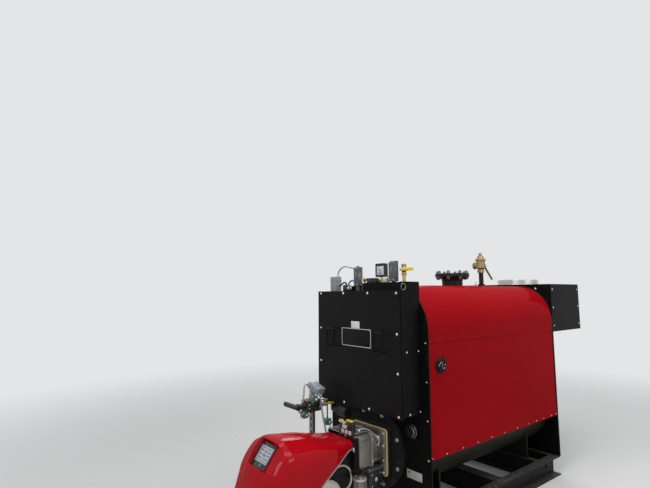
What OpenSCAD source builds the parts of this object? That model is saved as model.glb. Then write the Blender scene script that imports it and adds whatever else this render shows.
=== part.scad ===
// Commercial fire-tube hot-water boiler on a channel skid, with a hooded gas burner.
// Front (burner side) is -Y, the side seen with the round port is +X, floor is Z = 0.
// The origin is the middle of the skid's footprint. Millimetres.

/* [Jacket] */
// Length over the two end plates
jacket_l = 1670; // [1400:10:2000]
// Width over the jacket's side panels
jacket_w = 940; // [920:10:1040]
// Height of the jacket's top above the floor
jacket_top = 1555; // [1500:5:1650]
// Height of the side panels' bottom edge
jacket_bottom = 478; // [440:1:520]
// Radius of the jacket's upper corners
corner_r = 290; // [220:5:310]
// Height of the lap seam between side panels and top cover
seam_z = 1185; // [1120:5:1210]
// How far the top cover laps over a side panel
seam_lap = 25; // [15:1:35]
// Thickness of jacket and casing sheets
sheet_t = 3; // [2:0.5:4]
// Width of the bottom hem turned in under a side panel
hem_w = 25; // [15:1:30]
// Diameter of the round port in the right side panel
port_d = 100; // [80:2:120]
// Distance of the port behind the front end plate's face
port_y = 126; // [110:1:200]
// Height of the port
port_z = 1040; // [900:5:1100]

/* [Pressure vessel] */
// Insulation space between shell and jacket at the sides
side_gap = 50; // [40:1:70]
// Wall of the shell
vessel_wall = 8; // [6:1:12]
// Height of the shell's lowest line
vessel_bottom = 180; // [170:1:200]
// Insulation space between shell and jacket at the top
insulation_t = 50; // [40:1:70]
// Thickness of the end plates
plate_t = 12; // [8:1:20]
// How far an end plate stands out past the top cover
plate_lip = 2; // [1:0.5:6]

/* [Skid] */
// How far the skid stands in from the jacket's sides
skid_in = 0; // [-20:5:40]
// Height of the skid's channels
rail_h = 150; // [140:5:170]
// Flange width of a side rail
rail_flange = 67; // [50:1:75]
// Web thickness of the channels
rail_web = 7; // [5:0.5:10]
// Flange thickness of the channels
rail_flange_t = 9; // [6:0.5:12]
// Flange width of a cross member
cross_w = 60; // [50:1:80]
// Width of the middle cross member
middle_w = 100; // [80:2:140]
// Distance of each saddle from the skid's end
saddle_in = 260; // [200:5:350]
// Thickness of a saddle plate
saddle_t = 16; // [10:1:25]
// Width of a saddle plate
saddle_w = 660; // [560:10:720]
// Diameter of the lifting holes in the rails' webs
lift_d = 30; // [20:1:40]

/* [Front smoke box] */
// How far a side panel of the front box stands in from the jacket's side
box_inset = 52; // [30:1:80]
// Depth of the box in front of the end plate, door included
box_d = 177; // [150:1:220]
// Height of the box's underside
box_bottom = 748; // [740:1:780]
// Height of the box's top and the door's top
box_top = 1515; // [1480:5:1540]
// Wall of the box
box_wall = 6; // [4:1:10]
// How far the door's edge stands in from the side panel's face
door_inset = 8; // [5:1:12]
// Thickness of the door
door_t = 12; // [8:1:20]
// How far the door reaches below the box
door_drop = 13; // [5:1:18]
// Height of the side panels' top edge
panel_top = 1572; // [1560:1:1600]
// Diameter of the lifting eye in a side panel
eye_d = 43; // [30:1:45]
// Height of the raised instrument ledge
ledge_h = 55; // [40:1:56]
// Left end of the ledge, from the middle
ledge_x = 45; // [20:5:80]
// Depth of the ledge
ledge_d = 140; // [110:5:150]
// Diameter of the door handles' bar
handle_d = 12; // [8:1:16]
// Width of a handle
handle_w = 78; // [60:2:100]
// Height of a handle
handle_h = 115; // [90:5:140]
// Distance of a handle's middle from the door's edge
handle_in = 170; // [130:5:200]
// Height of the handles' lower end
handle_z = 1130; // [1050:5:1200]
// Grip's clearance from the door
handle_gap = 28; // [24:1:40]
// Diameter of the cleanout cap
cap_d = 84; // [70:2:100]
// Clearance between the cleanout cap and the round furnace front
cap_gap = 23.5; // [15:0.5:30]
// Height of the cleanout cap
cap_z = 607; // [580:1:640]

/* [Instruments] */
// Width, depth and height of the junction box
junction = [68, 50, 108];
// Place of the junction box's left front corner
junction_at = [-330, -128];
// Width, depth and height of a limit control
control = [46, 44, 134];
// Distance of each limit control from the middle plane
control_x = [-62, 282];
// Place of the limit controls along the boiler
control_y = -90;
// How far each limit control stands over its seat
control_lift = [37, 6];
// Side of the pressure gauge's case
gauge_side = 92; // [80:1:110]
// Depth of the gauge's case
gauge_t = 26; // [20:1:40]
// Distance of the gauge from the middle plane
gauge_x = 172; // [150:1:190]
// Height of the gauge's case over the ledge
gauge_lift = 38; // [25:1:60]
// Place of the vent valve
vent = [347, -60];
// Height of the vent valve's middle over the ledge
vent_lift = 82; // [70:1:100]
// Diameter of the levers' stems
stem_d = 10; // [8:0.5:12]
// Length of the vent valve's lever
vent_lever_l = 100; // [80:1:120]
// Thickness of the levers' plate
lever_t = 5; // [3:0.5:6]

/* [Rear smoke box] */
// Depth of the rear smoke box
rear_d = 540; // [450:10:600]
// Height of the rear box's underside
rear_bottom = 1165; // [1100:5:1200]
// Height of the rear box's top
rear_top = 1572; // [1560:1:1600]
// Outside diameter of the flue collar
flue_d = 370; // [300:5:400]
// Distance of the flue's axis behind the rear end plate
flue_y = 330; // [260:5:340]
// Height of the flue collar
flue_h = 50; // [40:1:120]

/* [Water nozzles] */
// Outside diameter of the nozzle pipe, six-inch
nozzle_d = 168.3; // [114:0.1:220]
// Wall of the nozzle pipe
nozzle_wall = 7.1; // [5:0.1:11]
// Outside diameter of the flange
flange_d = 279; // [270:1:300]
// Thickness of the flange
flange_t = 26; // [20:1:32]
// Length of the flange's tapered hub
hub_l = 36; // [20:1:50]
// Bolt circle of the flange
flange_pcd = 241.3; // [235:0.1:250]
// Diameter of the flange's bolt holes
flange_hole = 22.2; // [18:0.1:26]
// Number of bolt holes in the flange
flange_holes = 8; // [4:4:12]
// Distance of the supply nozzle behind the front end plate
supply_y = 932; // [800:5:1000]
// Height of the supply flange's face
supply_top = 1660; // [1640:5:1700]
// Height of the return nozzle's axis
return_z = 490; // [440:5:560]
// Reach of the return flange's face behind the rear end plate
return_reach = 115; // [100:5:160]

/* [Relief valve] */
// Distance of the relief valve behind the front end plate
relief_y = 1366; // [1300:5:1450]
// Diameter of the relief valve's nipple
nipple_d = 40; // [30:1:48]
// Height of the nipple's top
nipple_top = 1680; // [1660:5:1720]
// Height of the bronze body
relief_h = 180; // [150:5:200]
// Diameter of the bronze body
relief_d = 76; // [66:1:90]
// Length of the test lever
relief_lever_l = 175; // [120:5:200]
// Diameter of the test lever's pin
relief_pin_d = 8; // [6:0.5:10]

/* [Burner] */
// Height of the burner's axis
burner_z = 457; // [440:1:480]
// Diameter of the round furnace front
furnace_d = 540; // [500:5:550]
// Thickness of the furnace front
furnace_t = 25; // [15:1:40]
// Thickness of the burner's mounting pad
pad_t = 30; // [15:1:40]
// Width of the gasket
gasket_w = 330; // [300:2:350]
// Height of the gasket
gasket_h = 300; // [270:2:310]
// Thickness of the gasket
gasket_t = 7; // [4:1:12]
// Thickness of the casting's mounting flange
cast_flange_t = 13; // [10:1:20]
// Length of the casting's neck
neck_l = 90; // [80:1:110]
// Length of the casting's body
cast_l = 145; // [130:5:180]
// Width of the casting's body
cast_w = 280; // [250:5:300]
// Height of the casting's body
cast_h = 330; // [300:5:350]
// How far the casting's body rises above the burner's axis
cast_rise = 183; // [160:1:200]
// Length of the hood
hood_l = 723; // [660:1:760]
// Greatest width of the hood
hood_w = 400; // [360:5:440]
// Height of the hood
hood_h = 360; // [330:5:390]
// Height of the hood's lowest edge above the floor
hood_z = 330; // [310:5:350]
// Gap between hood and cast body
hood_gap = 12; // [5:1:20]
// Width of the display panel
display_w = 124; // [100:2:150]
// Height of the display panel along its slope
display_h = 146; // [120:2:160]
// Thickness of the display panel
display_t = 8; // [5:1:12]
// Distance of the display from the middle plane
display_x = 30; // [0:1:50]
// Width, length and height of the panel box under the hood
panel = [300, 225, 85];
// Width of the chassis
chassis_w = 220; // [200:5:240]
// Diameter of the fan housing
fan_d = 256; // [240:2:270]
// Width of the fan housing
fan_w = 210; // [190:5:220]
// Distance of the fan's axis in front of the cast body
fan_out = 235; // [220:1:250]
// Height of the fan's axis
fan_z = 283; // [270:1:300]
// Height of the fan housing's underside
fan_low = 120; // [110:1:140]
// Thickness of the inlet cover
cover_t = 50; // [40:1:60]
// Diameter of the inlet cover's round top
cover_d = 224; // [200:2:240]
// Width of the actuator box under the cast body
actuator_w = 115; // [100:1:130]
// Height of the actuator box
actuator_h = 110; // [90:1:120]
// Diameter of the round actuator
pot_d = 76; // [60:1:90]
// Width of the support leg
leg_w = 40; // [30:1:60]

/* [Gas train] */
// Distance of the gas line from the jacket's left side
gas_in = 140; // [120:1:160]
// Height of the gas line
gas_z = 712; // [690:1:714]
// Outside diameter of the gas line
gas_d = 34; // [26:1:38]
// Distance of the strut post in front of the end plate
strut_y = 345; // [320:1:360]
// Side of the strut post
strut = 41; // [35:1:50]
// Width, length and height of the valve body
valve = [80, 120, 76];
// Width, length and height of the valve's actuator
servo = [100, 120, 107];
// Length of the cock between valve and pipe
cock_l = 65; // [50:1:80]
// Distance of the down pipe in front of the end plate
drop_y = 110; // [95:1:125]
// Height of the cross pipe
cross_z = 655; // [640:1:670]
// Height at which the gas line enters the burner
inlet_z = 480; // [460:1:500]
// Length of the cock's lever
gas_lever_l = 82; // [60:1:84]
// Side of a pressure switch
switch = 44; // [36:1:50]
// Diameter of the flexible conduits
conduit_d = 12; // [8:1:16]

/* [Hidden] */
$fn = 64;

// Clearance between pieces and their seats
seat = 0.3;
// Running clearance of a lever on its stem, on the radius
run = 0.08;
rail_in = jacket_w / 2 - skid_in - rail_flange;
jacket_in = jacket_w / 2 - sheet_t;
plate_out = jacket_w / 2 + sheet_t + plate_lip;
vessel_r = jacket_w / 2 - side_gap;
vessel_low = vessel_bottom + vessel_r;
vessel_high = jacket_top - sheet_t - insulation_t - vessel_r;
vessel_top = vessel_high + vessel_r;
nozzle_bore = nozzle_d - 2 * nozzle_wall;
rear_w = 2 * plate_out;
box_w = jacket_w - 2 * box_inset;
box_in = box_w / 2 - sheet_t;
door_w = box_w - 2 * door_inset;
handle_x = door_w / 2 - handle_in;
ledge_top = box_top + ledge_h;
vent_z = ledge_top + vent_lift;
cap_reach = (furnace_d + cap_d) / 2 + cap_gap;
cap_x = sqrt(cap_reach * cap_reach - (cap_z - burner_z) * (cap_z - burner_z));
gasket_y = -(furnace_t + pad_t);
cast_face = gasket_y - gasket_t;
neck_y = cast_face - cast_flange_t;
body_y = neck_y - neck_l;
cast_back = body_y - cast_l;
cast_top = burner_z + cast_rise;
cast_bottom = cast_top - cast_h;
hood_back = cast_back - hood_gap;
fan_y = cast_back - fan_out;
gas_x = jacket_w / 2 - gas_in;
valve_y = -strut_y - valve[1] / 5;
servo_y = valve_y + 4;
servo_z = gas_z + valve[2] / 2 + 23;
cock_y = valve_y + valve[1];

// Moves what is drawn with Y = 0 on the front end plate's face to the model's frame
module from_front() { translate([0, -jacket_l / 2, 0]) children(); }

// Extrudes an X-Z outline from Y = y0 towards +Y
module along_y(y0, len) {
    translate([0, y0 + len, 0]) rotate([90, 0, 0]) linear_extrude(len) children();
}

// Extrudes a Y-Z outline from X = x0 towards +X
module along_x(x0, len) {
    translate([x0, 0, 0]) rotate([90, 0, 90]) linear_extrude(len) children();
}

// A round bar between two points
module rod(a, b, d) {
    v = b - a;
    translate(a)
        rotate([0, acos(v[2] / norm(v)), atan2(v[1], v[0])])
            cylinder(h = norm(v), d = d, $fn = 32);
}

// A bar or tube bent along a list of points
module bent_rod(pts, d) {
    for (i = [1 : len(pts) - 1]) rod(pts[i - 1], pts[i], d);
    for (i = [1 : len(pts) - 2]) translate(pts[i]) sphere(d = d, $fn = 32);
}

// Points of a smooth curve through a list of points, n to each span
function curve(p, n) = [
    for (i = [0 : len(p) - 2], k = [0 : n - 1])
        let (a = p[max(i - 1, 0)], b = p[i], c = p[i + 1], d = p[min(i + 2, len(p) - 1)], t = k / n)
        0.5 * (2 * b + (c - a) * t + (2 * a - 5 * b + 4 * c - d) * t * t
            + (3 * b - a - 3 * c + d) * t * t * t),
    p[len(p) - 1]];
function unit(v) = v / norm(v);

// A flexible conduit swept along a curve; side is a direction the curve never runs in
module conduit(pts, d, side) {
    sides = 10;
    p = curve(pts, 4);
    last = len(p) - 1;
    rings = [for (i = [0 : last])
        let (t = unit(i == 0 ? pts[1] - pts[0]
                : i == last ? pts[len(pts) - 1] - pts[len(pts) - 2]
                : p[i + 1] - p[i - 1]),
            u = unit(cross(t, side)),
            v = cross(t, u))
        for (k = [0 : sides - 1]) p[i] + d / 2 * (cos(360 * k / sides) * u + sin(360 * k / sides) * v)];
    faces = [
        for (i = [0 : last - 1], k = [0 : sides - 1])
            let (a = i * sides + k, b = i * sides + (k + 1) % sides) [a, a + sides, b + sides, b],
        [for (k = [0 : sides - 1]) k],
        [for (k = [sides - 1 : -1 : 0]) last * sides + k]];
    polyhedron(rings, faces);
}

module box(lo, hi) { translate(lo) cube(hi - lo); }

module rounded(w, h, r) {
    for (s = [-1, 1], t = [-1, 1]) translate([s * (w / 2 - r), t * (h / 2 - r)]) circle(r);
    square([w - 2 * r, h], center = true);
    square([w, h - 2 * r], center = true);
}

// Channel section with its web at x = 0 and its flanges towards +x
module channel(flange, h) {
    difference() {
        square([flange, h]);
        translate([rail_web, rail_flange_t]) square([flange, h - 2 * rail_flange_t]);
    }
}

// Outline of the jacket, grown by g past the side panels' outer face
module jacket_outline(g, z0) {
    w = jacket_w / 2 + g;
    top = jacket_top - sheet_t + g;
    r = corner_r - sheet_t + g;
    intersection() {
        union() {
            translate([-w, z0]) square([2 * w, top - r - z0]);
            for (s = [-1, 1]) translate([s * (w - r), top - r]) circle(r, $fn = 128);
            translate([r - w, z0]) square([2 * (w - r), top - z0]);
        }
        translate([-w, z0]) square([2 * w, top - z0]);
    }
}

module vessel_outline(r) {
    translate([-r, vessel_low]) square([2 * r, vessel_high - vessel_low]);
    for (z = [vessel_low, vessel_high]) translate([0, z]) circle(r, $fn = 128);
}

// Skid
module skid_rail() {
    difference() {
        along_y(0, jacket_l) translate([rail_in, 0]) channel(rail_flange, rail_h);
        for (y = [saddle_in / 2, jacket_l - saddle_in / 2])
            translate([rail_in - 1, y, rail_h / 2]) rotate([0, 90, 0])
                cylinder(h = rail_web + 2, d = lift_d);
    }
}
module skid_rail_right() { color("#1c1b1a") from_front() skid_rail(); }
module skid_rail_left() { color("#1c1b1a") from_front() mirror([1, 0, 0]) skid_rail(); }

module cross_member(y, w, turn = 1) {
    translate([0, y, 0]) scale([1, turn, 1]) along_x(-rail_in, 2 * rail_in) channel(w, rail_h);
}
module skid_cross_members() {
    color("#1c1b1a") from_front() {
        cross_member(0, cross_w);
        cross_member(saddle_in - cross_w / 2, cross_w);
        cross_member(jacket_l / 2 - middle_w / 2, middle_w);
        translate([0, jacket_l - saddle_in + cross_w / 2, 0]) mirror([0, 1, 0])
            cross_member(0, cross_w);
        translate([0, jacket_l, 0]) mirror([0, 1, 0]) cross_member(0, cross_w);
    }
}

module vessel_saddles() {
    color("#1a1918") from_front()
        for (y = [saddle_in, jacket_l - saddle_in])
            difference() {
                along_y(y - saddle_t / 2, saddle_t)
                    translate([-saddle_w / 2, rail_h]) square([saddle_w, vessel_r / 2]);
                along_y(y - saddle_t, 2 * saddle_t) vessel_outline(vessel_r + seat);
            }
}

// Pressure vessel
module boiler_shell() {
    color("#1b1810") from_front() difference() {
        along_y(plate_t, jacket_l - 2 * plate_t) difference() {
            vessel_outline(vessel_r);
            vessel_outline(vessel_r - vessel_wall);
        }
        translate([0, supply_y, vessel_high]) cylinder(h = vessel_r + 1, d = nozzle_bore - 14);
        translate([0, relief_y, vessel_high]) cylinder(h = vessel_r + 1, d = nipple_d / 2);
    }
}

module end_plate() { along_y(0, plate_t) jacket_outline(sheet_t + plate_lip, rail_h); }
module front_end_plate() { color("#1c1b1b") from_front() end_plate(); }
module rear_end_plate() {
    color("#1c1b1b") from_front() translate([0, jacket_l - plate_t, 0]) difference() {
        end_plate();
        translate([0, -1, return_z]) rotate([-90, 0, 0])
            cylinder(h = plate_t + 2, d = nozzle_bore - 14);
    }
}

// Jacket
module jacket_side(port) {
    difference() {
        along_y(plate_t, jacket_l - 2 * plate_t) {
            translate([jacket_in, jacket_bottom])
                square([sheet_t, seam_z + seam_lap - jacket_bottom]);
            translate([jacket_in - hem_w, jacket_bottom]) square([hem_w + 1, sheet_t]);
        }
        if (port)
            translate([jacket_in - 1, port_y, port_z]) rotate([0, 90, 0])
                cylinder(h = sheet_t + 2, d = port_d * 0.8);
    }
}
module jacket_side_right() { color("#9a0516") from_front() jacket_side(true); }
module jacket_side_left() { color("#9a0516") from_front() mirror([1, 0, 0]) jacket_side(false); }

module jacket_top_cover() {
    color("#9a0516") from_front() difference() {
        along_y(plate_t, jacket_l - 2 * plate_t) difference() {
            jacket_outline(sheet_t, seam_z);
            jacket_outline(0, seam_z - 1);
        }
        translate([0, supply_y, jacket_top - corner_r])
            cylinder(h = corner_r + 1, d = nozzle_d + 12);
        translate([0, relief_y, jacket_top - corner_r])
            cylinder(h = corner_r + 1, d = nipple_d + 6);
    }
}

module side_port() {
    color("#191919") from_front() translate([vessel_r, port_y, port_z]) rotate([0, 90, 0]) {
        cylinder(h = jacket_w / 2 - vessel_r + 1, d = port_d * 0.7);
        translate([0, 0, jacket_w / 2 - vessel_r]) cylinder(h = 8, d = port_d);
        translate([0, 0, jacket_w / 2 - vessel_r + 7]) cylinder(h = 7, d = port_d * 0.76);
    }
}

// Front smoke box
module front_smoke_box() {
    color("#1c1b1b") from_front() {
        difference() {
            box([-box_in, door_t - box_d, box_bottom], [box_in, 0, box_top]);
            box([-box_in + box_wall, -box_d, box_bottom + box_wall],
                [box_in - box_wall, 1, box_top - box_wall]);
        }
        box([ledge_x, -ledge_d - 10, box_top - 1], [box_in, -10, ledge_top]);
    }
}

module box_side_panels() {
    color("#1f1e1e") from_front() for (s = [0, 1]) mirror([s, 0, 0]) difference() {
        box([box_in, -box_d, box_bottom], [box_w / 2, 0, panel_top]);
        translate([box_in - 1, -box_d + 27, panel_top - 32]) rotate([0, 90, 0])
            cylinder(h = sheet_t + 2, d = eye_d);
    }
}

module front_door() {
    color("#262625") from_front() {
        along_y(-box_d, door_t)
            translate([0, (box_top + box_bottom - door_drop) / 2])
                rounded(door_w, box_top - box_bottom + door_drop, 6);
    }
}

module door_handles() {
    y0 = -box_d;
    y1 = -box_d - handle_gap - handle_d / 2;
    color("#262625") from_front() for (s = [-1, 1]) translate([s * handle_x, 0, handle_z]) {
        bent_rod([[-handle_w / 2, y0, 0], [-handle_w / 2, y1, 0], [-handle_w / 2, y1, handle_h],
            [handle_w / 2, y1, handle_h], [handle_w / 2, y1, 0], [handle_w / 2, y0, 0]], handle_d);
    }
}

module cleanout_cap() {
    color("#1a1a1a") from_front() translate([cap_x, 0, cap_z]) rotate([90, 0, 0]) {
        cylinder(h = 22, d = cap_d);
        cylinder(h = 34, d = cap_d * 0.79);
    }
}

// Instruments on the front box
module junction_box() {
    color("#a0aaa8") from_front() translate([junction_at[0], junction_at[1], box_top]) {
        cube(junction);
        translate([-2, -2, junction[2] * 0.72]) cube([junction[0] + 4, junction[1] + 4, 9]);
    }
}

// A limit control: a case with a sloped top front, on a round neck
module limit_control(lift) {
    translate([-control[0] / 2, 0, lift]) along_x(0, control[0])
        polygon([[-control[1] / 2, 0], [control[1] / 2, 0], [control[1] / 2, control[2]],
            [-control[1] / 6, control[2]], [-control[1] / 2, control[2] * 0.9]]);
    cylinder(h = lift + 1, d = control[1] * 0.68);
}
module limit_controls() {
    color("#4a4c50") from_front() {
        translate([control_x[0], control_y, box_top]) limit_control(control_lift[0]);
        translate([control_x[1], control_y, ledge_top]) limit_control(control_lift[1]);
    }
}

module pressure_gauge() {
    neck = gauge_side * 0.15;
    color("#151515") from_front() translate([gauge_x, control_y + 14, ledge_top]) {
        translate([0, 0, gauge_lift + gauge_side / 2]) rotate([90, 0, 0]) difference() {
            linear_extrude(gauge_t) rounded(gauge_side, gauge_side, 8);
            translate([0, 0, gauge_t - 4]) linear_extrude(5)
                rounded(gauge_side * 0.82, gauge_side * 0.82, 5);
        }
        translate([0, -gauge_t / 2, 0]) cylinder(h = gauge_lift + 7, d = neck);
        translate([0, -gauge_t / 2, 12]) cylinder(h = 12, d = neck * 1.8, $fn = 6);
    }
}

vent_nut = 34;
vent_ball = 40;
module vent_valve() {
    color("#b08a45") from_front() translate([vent[0], vent[1], 0]) {
        translate([0, 0, ledge_top]) cylinder(h = vent_lift, d = vent_nut * 0.65);
        translate([0, 0, vent_z - vent_nut - 4]) cylinder(h = 20, d = vent_nut, $fn = 6);
        translate([0, 0, vent_z]) sphere(d = vent_ball);
        translate([0, 0, vent_z + vent_nut - 18]) cylinder(h = 20, d = vent_nut, $fn = 6);
        translate([0, 0, vent_z]) rotate([90, 0, 0]) {
            cylinder(h = vent_ball * 0.6, d = vent_ball / 2);
            cylinder(h = vent_ball * 0.6 + 2.5 * lever_t, d = stem_d);
        }
    }
}

// A flat quarter-turn lever of length l, drawn along +X in its own plane
module quarter_lever(l) {
    difference() {
        linear_extrude(lever_t) {
            circle(d = 2 * stem_d);
            translate([0, -stem_d * 0.7]) square([l - stem_d * 0.7, stem_d * 1.4]);
            translate([l - stem_d * 0.7, 0]) circle(d = stem_d * 1.4);
        }
        translate([0, 0, -1]) cylinder(h = lever_t + 2, d = stem_d + 2 * run);
    }
}
module vent_lever() {
    color("#e8d020") from_front() translate([vent[0], vent[1] - vent_ball * 0.6 - 2, vent_z])
        rotate([90, 0, 0]) quarter_lever(vent_lever_l);
}

// Nozzles on top and at the rear
module pipe_flange() {
    difference() {
        translate([0, 0, -flange_t]) cylinder(h = flange_t, d = flange_d, $fn = 96);
        for (i = [0 : flange_holes - 1]) rotate(360 / flange_holes * (i + 0.5))
            translate([flange_pcd / 2, 0, -flange_t - 1]) cylinder(h = flange_t + 2, d = flange_hole);
    }
}
module nozzle(l) {
    difference() {
        union() {
            pipe_flange();
            translate([0, 0, -l]) cylinder(h = l - flange_t + 1, d = nozzle_d, $fn = 96);
            translate([0, 0, -flange_t - hub_l])
                cylinder(h = hub_l + 1, d1 = nozzle_d, d2 = nozzle_d + 24, $fn = 96);
        }
        translate([0, 0, -l - 1]) cylinder(h = l + 2, d = nozzle_bore, $fn = 96);
    }
}
module supply_nozzle() {
    color("#161616") from_front() translate([0, supply_y, supply_top])
        nozzle(supply_top - vessel_top - seat);
}
module return_nozzle() {
    color("#161616") from_front() translate([0, jacket_l + return_reach, return_z])
        rotate([-90, 0, 0]) nozzle(return_reach - seat);
}

module relief_nipple() {
    color("#151515") from_front() translate([0, relief_y, 0]) {
        translate([0, 0, vessel_top + seat])
            cylinder(h = nipple_top - vessel_top - seat, d = nipple_d);
        translate([0, 0, jacket_top + seat]) cylinder(h = 22, d = nipple_d * 1.65, $fn = 6);
    }
}
lug_y = relief_d / 2 + 16;
lever_z = nipple_top + relief_h * 0.37;
module relief_valve() {
    r = relief_d / 2;
    h = relief_h;
    lug = relief_pin_d * 1.5;
    color("#b09060") from_front() translate([0, relief_y, nipple_top]) {
        cylinder(h = h * 0.13, d = relief_d * 0.92, $fn = 6);
        rotate_extrude() polygon([[0, 1], [r * 0.7, 1], [r * 0.7, h * 0.16], [r, h * 0.24],
            [r, h * 0.58], [r * 1.2, h * 0.6], [r * 1.2, h * 0.68], [r * 0.86, h * 0.7],
            [r * 0.7, h * 0.84], [r * 0.34, h * 0.88], [r * 0.34, h], [0, h]]);
        translate([0, 0, h * 0.36]) rotate([0, -90, 0]) cylinder(h = r + 16, d = relief_d * 0.68);
        translate([-r - 16, 0, h * 0.36]) rotate([0, -90, 0])
            cylinder(h = 14, d = relief_d * 0.84, $fn = 6);
        for (s = [-1, 1]) translate([s * 11 - 3, 0, lever_z - nipple_top - lug])
            cube([6, lug_y + lug, 2 * lug]);
        translate([-14, lug_y, lever_z - nipple_top]) rotate([0, 90, 0])
            cylinder(h = 28, d = relief_pin_d);
    }
}
module relief_lever() {
    color("#4c6a18") from_front() translate([0, relief_y + lug_y, lever_z]) rotate([-45, 0, 0])
        difference() {
            union() {
                translate([-6, 0, 0]) rotate([0, 90, 0]) cylinder(h = 12, d = 20);
                translate([-6, 0, -7]) cube([12, relief_lever_l, 14]);
            }
            translate([-7, 0, 0]) rotate([0, 90, 0]) cylinder(h = 14, d = relief_pin_d + 2 * run);
        }
}

// Rear smoke box
module rear_smoke_box() {
    color("#1c1b1b") from_front() difference() {
        box([-rear_w / 2, jacket_l, rear_bottom], [rear_w / 2, jacket_l + rear_d, rear_top]);
        box([-rear_w / 2 + box_wall, jacket_l + box_wall, rear_bottom + box_wall],
            [rear_w / 2 - box_wall, jacket_l + rear_d - box_wall, rear_top - box_wall]);
        translate([0, jacket_l + flue_y, rear_top - 2 * box_wall])
            cylinder(h = 3 * box_wall, d = flue_d - 6 * sheet_t, $fn = 96);
    }
}
module flue_collar() {
    color("#b8b8b4") from_front() translate([0, jacket_l + flue_y, rear_top]) difference() {
        union() {
            cylinder(h = flue_h, d = flue_d, $fn = 96);
            cylinder(h = 4, d = flue_d + 40, $fn = 96);
        }
        translate([0, 0, -1]) cylinder(h = flue_h + 2, d = flue_d - 2 * sheet_t, $fn = 96);
    }
}

// Burner
module furnace_front() {
    color("#161616") from_front() {
        translate([0, 0, burner_z]) rotate([90, 0, 0]) cylinder(h = furnace_t, d = furnace_d, $fn = 96);
        along_y(gasket_y, pad_t + 1) translate([0, burner_z]) rounded(gasket_w + 30, gasket_h + 30, 40);
    }
}
module burner_gasket() {
    color("#a08048") from_front() along_y(gasket_y - gasket_t, gasket_t)
        translate([0, burner_z]) difference() {
            rounded(gasket_w, gasket_h, 25);
            circle(d = 200);
        }
}
module burner_casting() {
    mid_z = (cast_top + cast_bottom) / 2;
    rib = 6;
    color("#9a9b98") from_front() {
        along_y(neck_y, cast_flange_t) translate([0, burner_z])
            rounded(gasket_w - 8, gasket_h - 8, 22);
        along_y(body_y - 1, neck_l + 2) translate([0, burner_z])
            rounded(gasket_w * 0.73, gasket_h * 0.83, 20);
        along_y(cast_back, cast_l) translate([0, mid_z]) rounded(cast_w, cast_h, 18);
        for (y = [cast_back, body_y - rib * 2]) along_y(y, rib * 2) translate([0, mid_z])
            rounded(cast_w + 2 * rib, cast_h + 2 * rib, 22);
        along_y(body_y - 2, neck_l * 0.55) translate([0, cast_top - 12])
            rounded(cast_w * 0.62, 40, 12);
    }
}

// Hood: a loft of sections along Y. Each table gives shares of its length, from the front
hood_top_line = [[0, 0.139], [0.021, 0.306], [0.083, 0.569], [0.159, 0.792], [0.221, 0.944],
    [0.27, 1], [0.311, 1], [0.546, 0.928], [0.934, 0.75], [1, 0.717]];
hood_low_line = [[0, 0.042], [0.062, 0], [0.447, 0], [0.593, 0.297], [0.913, 0.625], [1, 0.639]];
hood_plan = [[0, 0.86], [0.035, 0.95], [0.118, 1], [0.45, 1], [1, 0.7]];
hood_stations = [0, 0.007, 0.021, 0.042, 0.062, 0.083, 0.111, 0.138, 0.159, 0.19, 0.221, 0.245,
    0.27, 0.29, 0.311, 0.34, 0.39, 0.447, 0.49, 0.54, 0.593, 0.65, 0.72, 0.79, 0.86, 0.913,
    0.955, 1];
// Half section: shares of the half width and of the height, with a groove at the shoulder
hood_section = [[1, 0], [1, 0.2], [0.996, 0.42], [0.988, 0.6], [0.97, 0.74], [0.943, 0.83],
    [0.915, 0.875], [0.895, 0.885], [0.878, 0.905], [0.83, 0.932], [0.76, 0.951], [0.62, 0.971],
    [0.45, 0.986], [0.25, 0.996], [0, 1]];
function smooth(s, line) = (lookup(s - 0.016, line) + lookup(s, line) + lookup(s + 0.016, line)) / 3;
function hood_y(s) = hood_back - hood_l * (1 - s);
function hood_low(s) = hood_z + hood_h * lookup(s, hood_low_line);
function hood_ring(s) =
    let (w = hood_w / 2 * smooth(s, hood_plan), lo = hood_low(s),
        h = hood_z + hood_h * smooth(s, hood_top_line) - lo, n = len(hood_section) - 1)
    [for (i = [0 : 2 * n])
        let (q = hood_section[i <= n ? i : 2 * n - i], side = i <= n ? 1 : -1)
        [side * w * q[0], hood_y(s), lo + h * q[1]]];
module hood_solid() {
    rings = [for (s = hood_stations) hood_ring(s)];
    m = len(rings[0]);
    faces = [
        for (k = [0 : len(rings) - 2], i = [0 : m - 1])
            let (a = k * m + i, b = k * m + (i + 1) % m) [a, a + m, b + m, b],
        [for (i = [0 : m - 1]) i],
        [for (i = [m - 1 : -1 : 0]) (len(rings) - 1) * m + i]];
    polyhedron([for (r = rings) each r], faces);
}
module display_block(w, h, below, above) {
    translate([display_x, hood_y(0.183), hood_z + 0.733 * hood_h]) rotate([51.5, 0, 0])
        translate([0, 0, -below]) linear_extrude(below + above) rounded(w, h, 6);
}
module burner_hood() {
    color("#be0014") from_front() difference() {
        hood_solid();
        display_block(display_w + 2, display_h + 2, display_t + seat, hood_h);
    }
}
module burner_display() {
    color("#1b1c1e") from_front() display_block(display_w, display_h, display_t, 0);
}

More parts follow.
